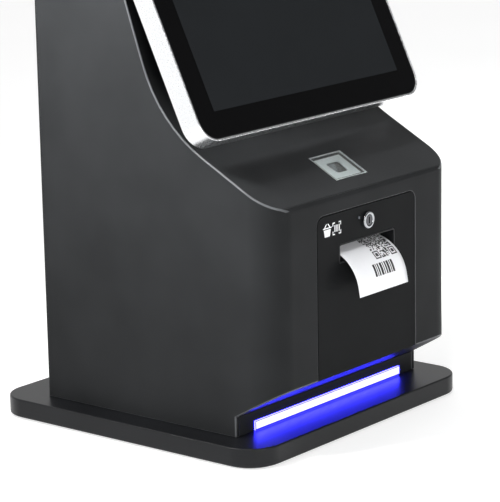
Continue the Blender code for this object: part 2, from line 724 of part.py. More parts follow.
def chassis():
    """Two side plates on a front plate that screws to the door, with a floor under the bucket."""
    front = CABINET_FRONT + SHEET + 0.0005
    low = ROLL.y - ROLL_RADIUS - BUCKET_PLAY - BUCKET_WALL - 0.006
    top = PAPER + 0.013
    back = LID_ROD.x + 0.006
    lap = CHASSIS_SHEET / 2
    side = rounded(
        [
            (front + lap, low + 0.012, 0.003),
            (front + 0.016, low, 0.003),
            (ROLL.x + 0.030, low, 0.003),
            (back, low + 0.022, 0.004),
            (back, LID_ROD.y + 0.006, 0.004),
            (PLATEN.x + 0.018, top, 0.004),
            (front + lap, top, 0.003),
        ],
        3,
    )
    plates = prism("printer_chassis", [side], "X", -CHASSIS_HALF_WIDTH, CHASSIS_HALF_WIDTH)
    combine(plates, prism("chassis_hollow", [rectangle((-1, -1), (1, 1))], "X", -INNER_HALF, INNER_HALF))
    slot_low = SLOT - SLOT_HEIGHT / 2 - 0.006
    ears = block("chassis_front", (-0.076, front, low + 0.015), (0.076, front + CHASSIS_SHEET, slot_low))
    weld_on(plates, ears)
    weld_on(plates, block("chassis_floor", (-INNER_HALF - lap, front + 0.020, low + lap),
                          (INNER_HALF + lap, ROLL.x + 0.026, low + lap + CHASSIS_SHEET)))
    weld_on(plates, rod("idler_stud", IDLER, 0.0015, "X", INNER_HALF + 0.0005, GEAR_END + 0.0005, 16))
    low, back = SLOT - SLOT_HEIGHT / 2 - 0.003, CABINET_FRONT + BEZEL_DEPTH + 0.001
    mouth = (-0.05, CABINET_FRONT, low), (0.05, back, 1)
    combine(plates, block("bezel_clearance", *mouth))
    combine(plates, rod("platen_hole", PLATEN, PLATEN_SHAFT_RADIUS + RUNNING, "X", -0.06, 0.06))
    combine(plates, rod("lid_rod_hole", LID_ROD, LID_ROD_RADIUS + RUNNING, "X", -0.06, 0.06))
    return steel(plates)


def paper_strip(name, path, half_width):
    """A strip of paper that follows a path in (y, z), with its thickness set off square to it."""
    sides = ([], [])
    for i, point in enumerate(path):
        along = Vector(path[min(i + 1, len(path) - 1)]) - Vector(path[max(i - 1, 0)])
        normal = Vector((-along.y, along.x)).normalized() * PAPER_SHEET / 2
        sides[0].append((point[0] + normal.x, point[1] + normal.y))
        sides[1].append((point[0] - normal.x, point[1] - normal.y))
    strip = prism(name, [sides[0] + sides[1][::-1]], "X", -half_width, half_width)
    return paint(strip, name + "_thermal_paper", (0.80, 0.81, 0.82), 0.7)


def receipt_path():
    """Out of the cutter at a slight slope, then curling down over the lip of the mouth."""
    start = Vector((CUT_Y - 0.0022, PAPER - 0.0003))
    ahead = Vector((-math.cos(RECEIPT_LEAN), -math.sin(RECEIPT_LEAN)))
    bend = start + ahead * RECEIPT_LEAD
    centre = bend - Vector((-math.sin(RECEIPT_LEAN), math.cos(RECEIPT_LEAN))) * RECEIPT_CURL
    curl = arc(centre, RECEIPT_CURL, math.pi / 2 + RECEIPT_LEAN, math.pi / 2 + RECEIPT_HANG, 12)
    down = Vector((-math.cos(RECEIPT_HANG), -math.sin(RECEIPT_HANG)))
    return [tuple(start)] + curl + [tuple(Vector(curl[-1]) + down * RECEIPT_TAIL)]


def paper_pieces():
    half = PAPER_WIDTH / 2
    bucket_inner = ROLL_RADIUS + BUCKET_PLAY
    low, high = math.radians(195), math.radians(345)
    cradle = arc(ROLL, bucket_inner, low, high, 16) + arc(ROLL, bucket_inner + BUCKET_WALL, high, low, 16)
    bucket = prism("paper_bucket", [cradle], "X", -half - 0.0025, half + 0.0025)
    for sign in (-1, 1):
        inner, outer = sign * (half + 0.001), sign * (half + 0.0025)
        wall = arc(ROLL, bucket_inner + 0.0005, low, high, 16)
        cheek = prism("bucket_cheek", [wall], "X", min(inner, outer), max(inner, outer))
        weld_on(bucket, cheek)
    plastic(bucket, (0.03, 0.03, 0.033), 0.6)

    roll = rod("paper_roll", ROLL, ROLL_RADIUS, "X", 0.0003 - half, half - 0.0003, 48, CORE_RADIUS + FIT)
    paint(roll, "paper_roll_thermal_paper", (0.80, 0.81, 0.82), 0.75)
    core = rod("paper_core", ROLL, CORE_RADIUS, "X", 0.0003 - half, half - 0.0003, 24, CORE_BORE)
    plastic(core, (0.25, 0.24, 0.22), 0.6)
    carry(pivot("roll_axis", (0, ROLL.x, ROLL.y)), roll, core)

    path = [(WEB_BACK, ROLL.y), (WEB_BACK, GUIDE.y)] + arc(GUIDE, GUIDE_RADIUS, 0, math.pi / 2, 14)[1:]
    path.append((CUT_Y + 0.0022, PAPER))
    web = paper_strip("paper_web", path, half)
    receipt = paper_strip("receipt", receipt_path(), half)
    carry(DOOR_PIVOT, bucket, web, receipt, bpy.data.objects["roll_axis"])


def print_pieces():
    axis = pivot("platen_axis", (0, PLATEN.x, PLATEN.y))
    half = PAPER_WIDTH / 2 + 0.001
    roller = rod("platen_roller", PLATEN, PLATEN_RADIUS, "X", -half, half, 32, PLATEN_SHAFT_RADIUS + FIT)
    paint(roller, "platen_roller_rubber", (0.02, 0.02, 0.02), 0.8)
    start = -CHASSIS_HALF_WIDTH - 0.0015
    shaft = rod("platen_shaft", PLATEN, PLATEN_SHAFT_RADIUS, "X", start, GEAR_END + 0.0008)
    steel(shaft)
    gear = gear_piece("platen_gear", PLATEN, PLATEN_TEETH, IDLER_BEARING, PLATEN_SHAFT_RADIUS + FIT)
    carry(axis, roller, shaft, gear)

    facing = IDLER_BEARING + math.pi + math.pi / IDLER_TEETH
    idler = gear_piece("idler_gear", IDLER, IDLER_TEETH, facing, 0.0015 + RUNNING)
    idler_axis = pivot("idler_axis", (0, IDLER.x, IDLER.y))
    carry(idler_axis, idler)
    steps = (PINION_BEARING - facing) / (2 * math.pi / IDLER_TEETH)
    past_tooth = steps - round(steps)
    phase = PINION_BEARING + math.pi + math.pi * (1 + 2 * past_tooth) / PINION_TEETH
    pinion = gear_piece("motor_pinion", PINION, PINION_TEETH, phase, 0)
    weld_on(pinion, rod("pinion_shaft", PINION, 0.0012, "X", GEAR_END - 0.001, GEAR_END + 0.0015, 16))
    pinion_axis = pivot("pinion_axis", (0, PINION.x, PINION.y))
    carry(pinion_axis, pinion)

    flange_start = GEAR_END + 0.0015 + FIT
    outline = centred(0.038, 0.024, 0.003, 3, (PINION.x, PINION.y - 0.004))
    motor = prism("feed_motor", [outline], "X", flange_start, flange_start + 0.0015)
    can_end = flange_start + 0.001 + MOTOR_LENGTH
    weld_on(motor, rod("motor_can", PINION, MOTOR_RADIUS, "X", flange_start + 0.001, can_end, 32))
    for sign in (-1, 1):
        post = (PINION.x + sign * 0.0155, PINION.y - 0.0115)
        start = CHASSIS_HALF_WIDTH + FIT
        weld_on(motor, rod("motor_post", post, 0.0018, "X", start, flange_start + 0.0005, 12))
    steel(motor)

    low = PAPER + PAPER_SHEET / 2 + FIT
    head = block("print_head", (-0.041, PLATEN.x - 0.006, low), (0.041, PLATEN.x + 0.007, low + 0.0075))
    start, end = (-0.036, PLATEN.x - 0.004, low + 0.0030), (0.036, PLATEN.x + 0.009, low + 0.0070)
    sink = block("head_fins", start, end)
    paint(weld_on(head, sink), "print_head_anodised", (0.25, 0.26, 0.27), 0.45, 1.0)

    cover_low = low + 0.0075 + FIT
    cover = block("head_cover", (FIT - INNER_HALF, PLATEN.x - 0.0075, cover_low),
                  (INNER_HALF - FIT, PLATEN.x + 0.013, cover_low + 0.0045))
    button = (0.034, PLATEN.x + 0.0025)
    combine(cover, rod("button_hole", button, 0.0036, "Z", cover_low - 0.01, cover_low + 0.02))
    plastic(cover)
    feed = rod("feed_button", button, 0.0032, "Z", cover_low + 0.0013, cover_low + 0.0065)
    plastic(feed, (0.05, 0.22, 0.10), 0.4)
    feed_axis = pivot("feed_button_axis", (button[0], button[1], cover_low))
    carry(feed_axis, feed)
    carry(DOOR_PIVOT, axis, idler_axis, pinion_axis, motor, head, cover, feed_axis)


def gear_piece(name, centre, teeth, phase, bore):
    outlines = [gear_outline(centre, teeth, phase)]
    if bore > 0:
        outlines.append(circle(centre, bore))
    gear = prism(name, outlines, "X", GEAR_START, GEAR_END)
    return plastic(gear, (0.75, 0.73, 0.68), 0.5)


def cutter_pieces():
    low, high = PAPER - 0.018, PAPER + 0.0105
    front, back = CUT_Y - 0.0059, CUT_Y + 0.0061
    frame = block("cutter_frame", (FIT - INNER_HALF, front, low), (INNER_HALF - FIT, back, high))
    half = PAPER_WIDTH / 2 + 0.002
    mouth = (-half, front - 0.01, PAPER - 0.0035), (half, back + 0.01, PAPER + 0.003)
    combine(frame, block("cutter_mouth", *mouth))
    half += 0.002
    way = (-half, CUT_Y - 0.0010, low - 0.01), (half, CUT_Y + 0.0010, PAPER + 0.0045)
    combine(frame, block("blade_way", *way))
    paint(frame, "cutter_frame_cast", (0.18, 0.18, 0.19), 0.5, 1.0)
    half -= 0.0006
    top = PAPER - BLADE_REST
    blade = block("cutter_blade", (-half, CUT_Y - BLADE_SHEET / 2, top - BLADE_HEIGHT),
                  (half, CUT_Y + BLADE_SHEET / 2, top))
    steel(blade)
    blade_axis = pivot("blade_axis", (0, CUT_Y, top))
    carry(blade_axis, blade)
    carry(DOOR_PIVOT, frame, blade_axis)


def lid_pieces():
    half = PAPER_WIDTH / 2 + 0.002
    low, high = math.radians(-6), math.radians(86)
    shell = arc(GUIDE, LID_INNER, low, high, 14) + arc(GUIDE, LID_OUTER, high, low, 14)
    lid = prism("paper_lid", [shell], "X", -half, half)
    for sign in (-1, 1):
        ends = sorted((sign * half, sign * (half - 0.010)))
        knuckle = rod("lid_knuckle", LID_ROD, LID_ROD_RADIUS + 0.0024, "X", *ends)
        weld_on(lid, knuckle)
    bore = rod("lid_bore", LID_ROD, LID_ROD_RADIUS + RUNNING, "X", -half - 0.01, half + 0.01)
    plastic(combine(lid, bore), (0.035, 0.036, 0.04), 0.45)
    end = CHASSIS_HALF_WIDTH + 0.002
    steel(rod("lid_rod", LID_ROD, LID_ROD_RADIUS, "X", -end, end))
    axis = pivot("lid_axis", (0, LID_ROD.x, LID_ROD.y))
    carry(axis, lid)
    carry(DOOR_PIVOT, axis, bpy.data.objects["lid_rod"])


def board_piece():
    face = -CHASSIS_HALF_WIDTH - 0.003
    low, high = (ROLL.x - 0.024, ROLL.y - 0.016), (ROLL.x + 0.034, ROLL.y + 0.032)
    board = prism("printer_board", [rectangle(low, high, 0.002, 2)], "X", face - 0.0016, face)
    chip = rectangle((ROLL.x - 0.006, ROLL.y), (ROLL.x + 0.008, ROLL.y + 0.014))
    weld_on(board, prism("board_chip", [chip], "X", face - 0.0034, face - 0.001))
    plug = rectangle((ROLL.x + 0.014, ROLL.y - 0.013), (ROLL.x + 0.030, ROLL.y - 0.006))
    weld_on(board, prism("board_plug", [plug], "X", face - 0.0076, face - 0.001))
    plastic(board, (0.02, 0.12, 0.06), 0.45)
    carry(DOOR_PIVOT, board)


# ---------------------------------------------------------------- scanner in the shelf


def scanner_pieces():
    low = -SCANNER_GLASS
    glass = prism("scanner_window", [centred(SCANNER_WIDTH, SCANNER_LENGTH)], "Z", low, 0)
    paint(glass, "scanner_window_glass", (0.35, 0.37, 0.38), 0.05)
    low -= FIT
    rim = 2 * SCANNER_RIM
    bezel = prism("scanner_bezel", [centred(SCANNER_WIDTH + rim, SCANNER_LENGTH + rim, 0.002, 2)],
                  "Z", low - SCANNER_BEZEL, low)
    near = (-0.0085, -0.008, 0.003), (0.0085, -0.008, 0.003)
    eye = rounded([*near, (0.011, 0.008, 0.003), (-0.011, 0.008, 0.003)], 4)
    combine(bezel, prism("scanner_eye", [eye], "Z", low - 0.01, low + 0.01))
    paint(bezel, "scanner_bezel_plate", (0.45, 0.46, 0.47), 0.4, 0.6)
    top = low - SCANNER_BEZEL - FIT
    module = prism("scanner_module", [centred(0.042, 0.032, 0.002, 2)], "Z", top - SCANNER_DEPTH, top)
    well = prism("scanner_well", [centred(0.026, 0.020, 0.002, 2)], "Z", top - 0.008, top + 0.01)
    plastic(combine(module, well), (0.03, 0.03, 0.035), 0.4)
    stand(SCANNER_TILT, glass, bezel, module)
    stand(SCANNER_TILT, bpy.data.objects["scanner_eye"], bpy.data.objects["scanner_well"])


# ---------------------------------------------------------------- display


def display_pieces():
    """Drawn in the screen's own axes: X across, Y up the glass, Z out of its face."""
    middle = (0, SCREEN_LENGTH / 2)

    def outline(by, count=8):
        return centred(SCREEN_WIDTH - 2 * by, SCREEN_LENGTH - 2 * by, SCREEN_CORNER - by, count, middle)

    back = SCREEN_COVER + FIT - SCREEN_DEPTH
    frame = prism("display_frame", [outline(0), outline(SCREEN_RIM)], "Z", back, 0)
    paint(frame, "display_frame_aluminium", (0.75, 0.76, 0.78), 0.25, 1.0)
    glass = prism("touch_glass", [outline(SCREEN_RIM + FIT)], "Z", -GLASS_THICKNESS, -0.0002)
    paint(glass, "touch_glass_black", (0.006, 0.006, 0.007), 0.06)
    panel_top = -GLASS_THICKNESS - FIT
    panel = prism("lcd_panel", [centred(PANEL_WIDTH, PANEL_LENGTH, 0, 6, middle)],
                  "Z", panel_top - PANEL_THICKNESS, panel_top)
    paint(panel, "lcd_panel_module", (0.03, 0.03, 0.032), 0.4)
    cover = prism("display_back_cover", [outline(SCREEN_COVER_INSET)], "Z", -SCREEN_DEPTH, back - FIT)
    powder(cover)
    board_back = back + 0.0008
    board_front = panel_top - PANEL_THICKNESS - 0.002
    board = prism("display_board", [centred(0.150, 0.090, 0.002, 2, middle)], "Z", board_back, board_front)
    plastic(board, (0.02, 0.12, 0.06), 0.45)
    stand(SCREEN_TILT, frame, glass, panel, cover, board)


def screen_back(height):
    """World y of the display's back at a height."""
    front = SCREEN_FRONT_Y + math.tan(SCREEN_LEAN) * (height - BASE_TOP - SCREEN_FRONT_HEIGHT)
    return front + SCREEN_DEPTH / math.cos(SCREEN_LEAN)


def slant_face(height):
    """World y of the cabinet's slanted front at a height."""
    return BEND_Y + math.tan(SLANT_LEAN) * (height - BEND)


def bracket_middle():
    """(y, z) of the bracket's middle, behind the middle of the display."""
    up = SCREEN_LENGTH / 2
    height = BASE_TOP + SCREEN_FRONT_HEIGHT + up * math.cos(SCREEN_LEAN)
    height -= SCREEN_DEPTH * math.sin(SCREEN_LEAN)
    return Vector((slant_face(height), height))


def bracket_piece():
    """A folded channel whose cheeks taper from the cabinet's slope to the display's."""
    height = bracket_middle().y
    low, high = height - BRACKET_LENGTH / 2, height + BRACKET_LENGTH / 2
    skin = FIT / math.cos(SLANT_LEAN)
    wedge = [
        (screen_back(low) + skin, low),
        (slant_face(low) - skin, low),
        (slant_face(high) - skin, high),
        (screen_back(high) + skin, high),
    ]
    half = BRACKET_WIDTH / 2
    bracket = prism("vesa_bracket", [wedge], "X", -half, half)
    plate = skin + BRACKET_SHEET / math.cos(SCREEN_LEAN)
    hollow = [
        (screen_back(low - 0.01) + plate, low - 0.01),
        (slant_face(low) + 0.05, low - 0.01),
        (slant_face(high) + 0.05, high + 0.01),
        (screen_back(high + 0.01) + plate, high + 0.01),
    ]
    half -= BRACKET_SHEET
    combine(bracket, prism("bracket_hollow", [hollow], "X", -half, half))
    powder(bracket)


# ---------------------------------------------------------------- rear door and fan


def rear_door_piece():
    half = REAR_DOOR_WIDTH / 2
    front, back = CABINET_BACK - REAR_SHEET, CABINET_BACK
    skin = rectangle((-half, REAR_DOOR_LOW), (half, REAR_DOOR_TOP), 0.003, 3)
    lock = circle(REAR_LOCK, LOCK_BODY_RADIUS + FIT)
    vents = []
    for start in (FAN - VENT_PITCH * (VENT_COUNT - 1) / 2, BASE_TOP + VENT_LOW_HEIGHT):
        for i in range(VENT_COUNT):
            vents.append(centred(VENT_WIDTH, VENT_HEIGHT, VENT_ROUND, 2, (0, start + i * VENT_PITCH)))
    door = prism("rear_door", [skin, lock] + vents, "Y", front, back)
    inner = front - REAR_FLANGE
    left, right = REAR_AXIS.x + 0.010, half - 0.0005
    strip = REAR_SHEET
    for low, high in (
        ((left, inner, REAR_DOOR_LOW + 0.0005), (right, front + 0.0005, REAR_DOOR_LOW + 0.0005 + strip)),
        ((left, inner, REAR_DOOR_TOP - 0.0005 - strip), (right, front + 0.0005, REAR_DOOR_TOP - 0.0005)),
        ((right - strip, inner, REAR_DOOR_LOW + 0.0005), (right, front + 0.0005, REAR_DOOR_TOP - 0.0005)),
    ):
        weld_on(door, block("rear_flange", low, high))
    for z in (REAR_DOOR_LOW + 0.0015, REAR_DOOR_TOP - 0.0015 - REAR_KNUCKLE_LENGTH):
        weld_on(door, rod("rear_knuckle", REAR_AXIS, REAR_KNUCKLE_RADIUS, "Z", z, z + REAR_KNUCKLE_LENGTH))
    start, end = REAR_DOOR_LOW - 0.01, REAR_DOOR_TOP + 0.01
    bore = rod("rear_bore", REAR_AXIS, REAR_PIN_RADIUS + RUNNING, "Z", start, end)
    powder(combine(door, bore))
    carry(REAR_PIVOT, door)


def rear_pin(name, edge, sign):
    """A bracket behind the cabinet's back wall, past the door's edge, with the pin the door turns on."""
    wall = CABINET_BACK - SHEET - FIT
    gap = edge - sign * (REAR_GAP + 0.001)
    ends = sorted((gap, gap - sign * 0.018))
    low = (REAR_AXIS.x - 0.007, wall - 0.002, ends[0])
    bracket = block(name, low, (REAR_AXIS.x + 0.007, wall, ends[1]))
    ends = sorted((gap, gap - sign * 0.002))
    tongue = block(name + "_tongue", (REAR_AXIS.x - 0.005, wall - 0.009, ends[0]),
                   (REAR_AXIS.x + 0.005, wall - 0.0005, ends[1]))
    weld_on(bracket, tongue)
    ends = sorted((gap - sign * 0.0005, edge + sign * (0.0015 + REAR_KNUCKLE_LENGTH - 0.002)))
    weld_on(bracket, rod(name + "_pin", REAR_AXIS, REAR_PIN_RADIUS, "Z", *ends))
    steel(bracket)


def rear_lock_pieces():
    front = REAR_CAM_Y + LOCK_CAM_SHEET + FIT
    barrel = rod("rear_lock_barrel", REAR_LOCK, LOCK_BODY_RADIUS, "Y", front, CABINET_BACK + 0.001)
    weld_on(barrel, rod("rear_lock_flange", REAR_LOCK, LOCK_FLANGE_RADIUS, "Y", CABINET_BACK + FIT,
                        CABINET_BACK + LOCK_FLANGE))
    bore = LOCK_PLUG_RADIUS + RUNNING
    combine(barrel, rod("rear_lock_bore", REAR_LOCK, bore, "Y", front - 0.01, CABINET_BACK + 0.02))
    paint(barrel, "rear_lock_barrel_chrome", (0.75, 0.76, 0.78), 0.15, 1.0)
    face = CABINET_BACK + LOCK_FLANGE - 0.0004
    plug = rod("rear_lock_plug", REAR_LOCK, LOCK_PLUG_RADIUS, "Y", REAR_CAM_Y + 0.0005, face)
    x, z = REAR_LOCK
    half = LOCK_CAM_WIDTH / 2
    cam = arc((x, z), half, 0, math.pi, 8) + [
        (x - half * 0.8, z - LOCK_CAM_LENGTH),
        (x + half * 0.8, z - LOCK_CAM_LENGTH),
    ]
    weld_on(plug, prism("rear_lock_cam", [cam], "Y", REAR_CAM_Y, REAR_CAM_Y + LOCK_CAM_SHEET))
    key = centred(0.0016, 0.006, 0, 6, REAR_LOCK)
    combine(plug, prism("rear_key_slot", [key], "Y", CABINET_BACK - 0.004, CABINET_BACK + 0.02))
    paint(plug, "rear_lock_plug_chrome", (0.7, 0.7, 0.72), 0.2, 1.0)
    turning = pivot("rear_lock_axis", (x, CABINET_BACK, z))
    carry(turning, plug)
    carry(REAR_PIVOT, barrel, turning)


def fan_pieces():
    centre = (0, FAN)
    front = FAN_BACK - FAN_THICKNESS
    ring = [centred(FAN_SIZE, FAN_SIZE, 0.006, 3, centre), circle(centre, FAN_BORE_RADIUS, 40)]
    frame = prism("fan_frame", ring, "Y", front, FAN_BACK)
    mount = FAN_BACK - 0.002, FAN_BACK - 0.0001
    weld_on(frame, rod("fan_mount", centre, FAN_HUB_RADIUS - 0.001, "Y", *mount, 24))
    for angle in (45, 165, 285):
        across = Vector((-math.sin(math.radians(angle)), math.cos(math.radians(angle)))) * 0.0015
        along = Vector((math.cos(math.radians(angle)), math.sin(math.radians(angle))))
        inner, outer = Vector(centre) + along * 0.010, Vector(centre) + along * (FAN_BORE_RADIUS + 0.0005)
        spoke = [inner - across, outer - across, outer + across, inner + across]
        weld_on(frame, prism("fan_spoke", [spoke], "Y", FAN_BACK - 0.0018, FAN_BACK - 0.0002))
    plastic(frame)
    carry(REAR_PIVOT, frame)

    hub_back = FAN_BACK - 0.002 - FAN_PLAY
    rotor = rod("fan_rotor", centre, FAN_HUB_RADIUS, "Y", front + 0.002, hub_back, 24)
    depth = hub_back - front - 0.004
    for i in range(FAN_BLADES):
        fan_blade(rotor, centre, 2 * math.pi * i / FAN_BLADES, (front + 0.002 + hub_back) / 2, depth)
    plastic(rotor, (0.03, 0.03, 0.032), 0.4)
    spin = pivot("fan_axis", (0, FAN_BACK, FAN))
    carry(spin, rotor)
    carry(REAR_PIVOT, spin)


def fan_blade(rotor, centre, angle, middle, depth):
    """A flat blade, pitched against the fan's axis and buried in the hub at its root."""
    root, tip = FAN_HUB_RADIUS - 0.002, FAN_BORE_RADIUS - FAN_PLAY
    length = tip - root
    blade = prism("fan_blade", [centred(length, depth)], "Z", -0.0006, 0.0006)
    pitch = Matrix.Rotation(math.radians(38), 4, "X")
    out = Matrix.Translation(((root + tip) / 2, 0, 0))
    around = Matrix.Rotation(-angle, 4, "Y")
    place = Matrix.Translation((centre[0], middle, centre[1]))
    blade.data.transform(place @ around @ out @ pitch)
    weld_on(rotor, blade)


# ---------------------------------------------------------------- power and computing


def power_pieces():
    back = CABINET_BACK + INLET_FLANGE
    body = centred(INLET_WIDTH, INLET_TALL, 0.001, 2, (INLET_X, INLET))
    inlet = prism("mains_inlet", [body], "Y", CABINET_BACK - INLET_DEPTH, CABINET_BACK + 0.001)
    flange = centred(INLET_WIDTH + 0.004, INLET_TALL + 0.004, 0.002, 2, (INLET_X, INLET))
    weld_on(inlet, prism("inlet_flange", [flange], "Y", CABINET_BACK + FIT, back))
    well = rounded([
        (INLET_X - 0.0115, INLET - 0.0075, 0), (INLET_X + 0.0115, INLET - 0.0075, 0),
        (INLET_X + 0.0115, INLET + 0.0035, 0), (INLET_X + 0.0070, INLET + 0.0075, 0),
        (INLET_X - 0.0070, INLET + 0.0075, 0), (INLET_X - 0.0115, INLET + 0.0035, 0),
    ])
    combine(inlet, prism("inlet_well", [well], "Y", CABINET_BACK - 0.0155, back + 0.01))
    for x, z in ((-0.007, 0.0005), (0, 0.0045), (0.007, 0.0005)):
        pin = centred(0.002, 0.004, 0, 6, (INLET_X + x, INLET + z))
        weld_on(inlet, prism("inlet_pin", [pin], "Y", CABINET_BACK - 0.0165, CABINET_BACK - 0.002))
    plastic(inlet)

    body = centred(SWITCH_WIDTH, SWITCH_TALL, 0, 6, (SWITCH_X, INLET))
    housing = prism("switch_housing", [body], "Y", CABINET_BACK - 0.016, CABINET_BACK + 0.001)
    flange = centred(SWITCH_WIDTH + 0.003, SWITCH_TALL + 0.003, 0.001, 2, (SWITCH_X, INLET))
    weld_on(housing, prism("switch_flange", [flange], "Y", CABINET_BACK + FIT, CABINET_BACK + 0.002))
    well = centred(SWITCH_WIDTH - 0.003, SWITCH_TALL - 0.003, 0, 6, (SWITCH_X, INLET))
    combine(housing, prism("switch_well", [well], "Y", CABINET_BACK - 0.009, CABINET_BACK + 0.01))
    plastic(housing)

    half = (SWITCH_TALL - 0.003) / 2 - 0.0006
    hinge_y = CABINET_BACK - 0.002
    rocker = prism("power_rocker", [rocker_outline(hinge_y, half)], "X",
                   SWITCH_X - SWITCH_WIDTH / 2 + 0.0019, SWITCH_X + SWITCH_WIDTH / 2 - 0.0019)
    paint(rocker, "power_rocker_plastic", (0.02, 0.02, 0.02), 0.35)
    carry(pivot("rocker_axis", (0, hinge_y, INLET)), rocker)


def rocker_outline(hinge_y, half):
    """A rocker seen from the side, pressed down at its lower half: the two faces meet at its axis."""
    lean = ROCKER_THROW / 2
    turn = Matrix.Rotation(-lean, 2)
    rise = math.tan(lean) * half
    wings = (0.0028 + rise, -half), (0.0028, 0), (0.0028 + rise, half)
    shape = [(-0.005, -half * 0.7), *wings, (-0.005, half * 0.7)]
    return [tuple(Vector((hinge_y, INLET)) + turn @ Vector(point)) for point in shape]


def inner_boxes():
    floor = BASE_TOP + 2 * FIT + FLOOR_SHEET
    supply = block("power_supply", (-0.128, -0.020, floor), (-0.018, 0.085, floor + 0.032))
    vents = [centred(0.004, 0.060, 0.0018, 2, (-0.118 + 0.010 * i, 0.032)) for i in range(9)]
    for vent in vents:
        combine(supply, prism("supply_vent", [vent], "Z", floor + 0.031, floor + 0.05))
    steel(supply)
    computer = prism("mini_computer", [rectangle((0.008, -0.035), (0.132, 0.088), 0.008, 4)],
                     "Z", floor, floor + 0.038)
    for i in range(3):
        port = centred(0.014, 0.006, 0, 6, (0.040 + 0.022 * i, floor + 0.014))
        combine(computer, prism("computer_port", [port], "Y", 0.078, 0.1))
    plastic(computer, (0.025, 0.025, 0.028), 0.4)


# ---------------------------------------------------------------- assembly

DOOR_PIVOT = pivot("printer_door_axis", (0, HINGE.x, HINGE.y))
REAR_PIVOT = pivot("rear_door_axis", (REAR_AXIS.x, REAR_AXIS.y, REAR_DOOR_LOW))
SCREEN_FOOT = 0, SCREEN_FRONT_Y, BASE_TOP + SCREEN_FRONT_HEIGHT
SCREEN_TILT = tilt("screen_tilt", SCREEN_FOOT, math.pi / 2 - SCREEN_LEAN)
SCANNER_TILT = tilt(
    "scanner_tilt",
    (
        0,
        CABINET_FRONT + SCANNER_UP_SHELF * math.cos(SHELF_SLOPE),
        FOLD + SCANNER_UP_SHELF * math.sin(SHELF_SLOPE),
    ),
    SHELF_SLOPE,
)


def main():
    base_pieces()
    cabinet_pieces()
    door_pieces()
    lock_pieces()
    carry(DOOR_PIVOT, chassis())
    paper_pieces()
    print_pieces()
    cutter_pieces()
    lid_pieces()
    board_piece()
    scanner_pieces()
    display_pieces()
    bracket_piece()
    rear_door_piece()
    rear_pin("rear_hinge_pin_lower", REAR_DOOR_LOW, 1)
    rear_pin("rear_hinge_pin_upper", REAR_DOOR_TOP, -1)
    rear_lock_pieces()
    fan_pieces()
    power_pieces()
    inner_boxes()


main()
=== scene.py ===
"""Looks for a counter-top self checkout kiosk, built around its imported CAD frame.

Metres, +Z up. The customer stands at -Y.
"""

import json
import math
import random

import bmesh
import bpy
from bpy.props import FloatProperty, FloatVectorProperty, PointerProperty
from mathutils import Matrix, Vector

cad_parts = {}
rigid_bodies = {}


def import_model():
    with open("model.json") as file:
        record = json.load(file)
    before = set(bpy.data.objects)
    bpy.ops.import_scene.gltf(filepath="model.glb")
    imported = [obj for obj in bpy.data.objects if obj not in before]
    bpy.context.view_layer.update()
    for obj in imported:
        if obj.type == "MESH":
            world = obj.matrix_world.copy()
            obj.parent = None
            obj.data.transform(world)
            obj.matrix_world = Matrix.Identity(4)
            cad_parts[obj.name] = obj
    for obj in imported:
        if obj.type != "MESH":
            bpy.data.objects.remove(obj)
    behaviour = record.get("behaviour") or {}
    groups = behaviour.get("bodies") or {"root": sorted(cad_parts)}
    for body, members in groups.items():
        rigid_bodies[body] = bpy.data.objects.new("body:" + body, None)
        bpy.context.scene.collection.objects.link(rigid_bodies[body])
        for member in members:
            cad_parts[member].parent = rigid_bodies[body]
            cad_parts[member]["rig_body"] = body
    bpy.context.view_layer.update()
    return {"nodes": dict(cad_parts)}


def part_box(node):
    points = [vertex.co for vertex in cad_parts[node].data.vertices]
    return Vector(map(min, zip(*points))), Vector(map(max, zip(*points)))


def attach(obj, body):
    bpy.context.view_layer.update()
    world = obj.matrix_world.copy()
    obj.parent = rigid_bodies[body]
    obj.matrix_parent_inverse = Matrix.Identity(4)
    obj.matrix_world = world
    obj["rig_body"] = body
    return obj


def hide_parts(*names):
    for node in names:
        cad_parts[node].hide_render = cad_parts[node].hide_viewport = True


bl_info = {
    "name": "Self Checkout Kiosk",
    "version": (1, 0, 0),
    "blender": (4, 5, 0),
    "location": "View3D > Sidebar > Kiosk",
    "description": "Finishes and small parts for a counter-top self checkout kiosk",
    "category": "Object",
}

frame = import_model()
MM = 0.001
ACROSS = Vector((1, 0, 0))
UP = Vector((0, 0, 1))
FRONT_CORNER = 30 * MM  # plan radius of the cabinet's front corners
SAME_POINT = 1e-6  # points closer than this are one
SHARP = 28  # degrees; edges that turn more than this get rounded
WAVES = 3.2  # how often a wave texture of scale 1 repeats in a metre
MOST_NOISE = 0.3, 0.7  # most of a noise's values lie between these

# rounding of each piece's sharp edges where it isn't the usual one, in millimetres
USUAL_EDGE = 0.3
EDGES = {
    "base_tray": 1.6, "anti_slip_mat": 0.4, "cabinet_floor": 0.4, "led_diffuser": 0.35,
    "printer_door": 0.5, "door_hinge_bracket_left": 0.2, "door_hinge_bracket_right": 0.2,
    "status_light": 0.25, "lock_barrel": 1.3, "lock_plug": 0.2, "printer_chassis": 0.25,
    "feed_motor": 0.4, "printer_board": 0.15, "scanner_window": 0.35, "scanner_bezel": 0.25,
    "display_frame": 0.8, "touch_glass": 0.5, "display_back_cover": 1.2, "rear_door": 0.35,
    "rear_hinge_pin_upper": 0.2, "rear_hinge_pin_lower": 0.2, "rear_lock_barrel": 0.5,
    "rear_lock_plug": 0.2, "fan_frame": 0.4, "fan_rotor": 0.25, "mains_inlet": 0.4,
    "power_supply": 0.4, "mini_computer": 0.9,
}
USUAL_FACETS = 2  # and the facets of the rounding
FACETS = {
    "base_tray": 4, "cabinet_shell": 3, "printer_door": 3, "lock_barrel": 5, "display_frame": 3,
    "display_back_cover": 3, "rear_lock_barrel": 3, "mini_computer": 3,
}


# ---- colour and node helpers


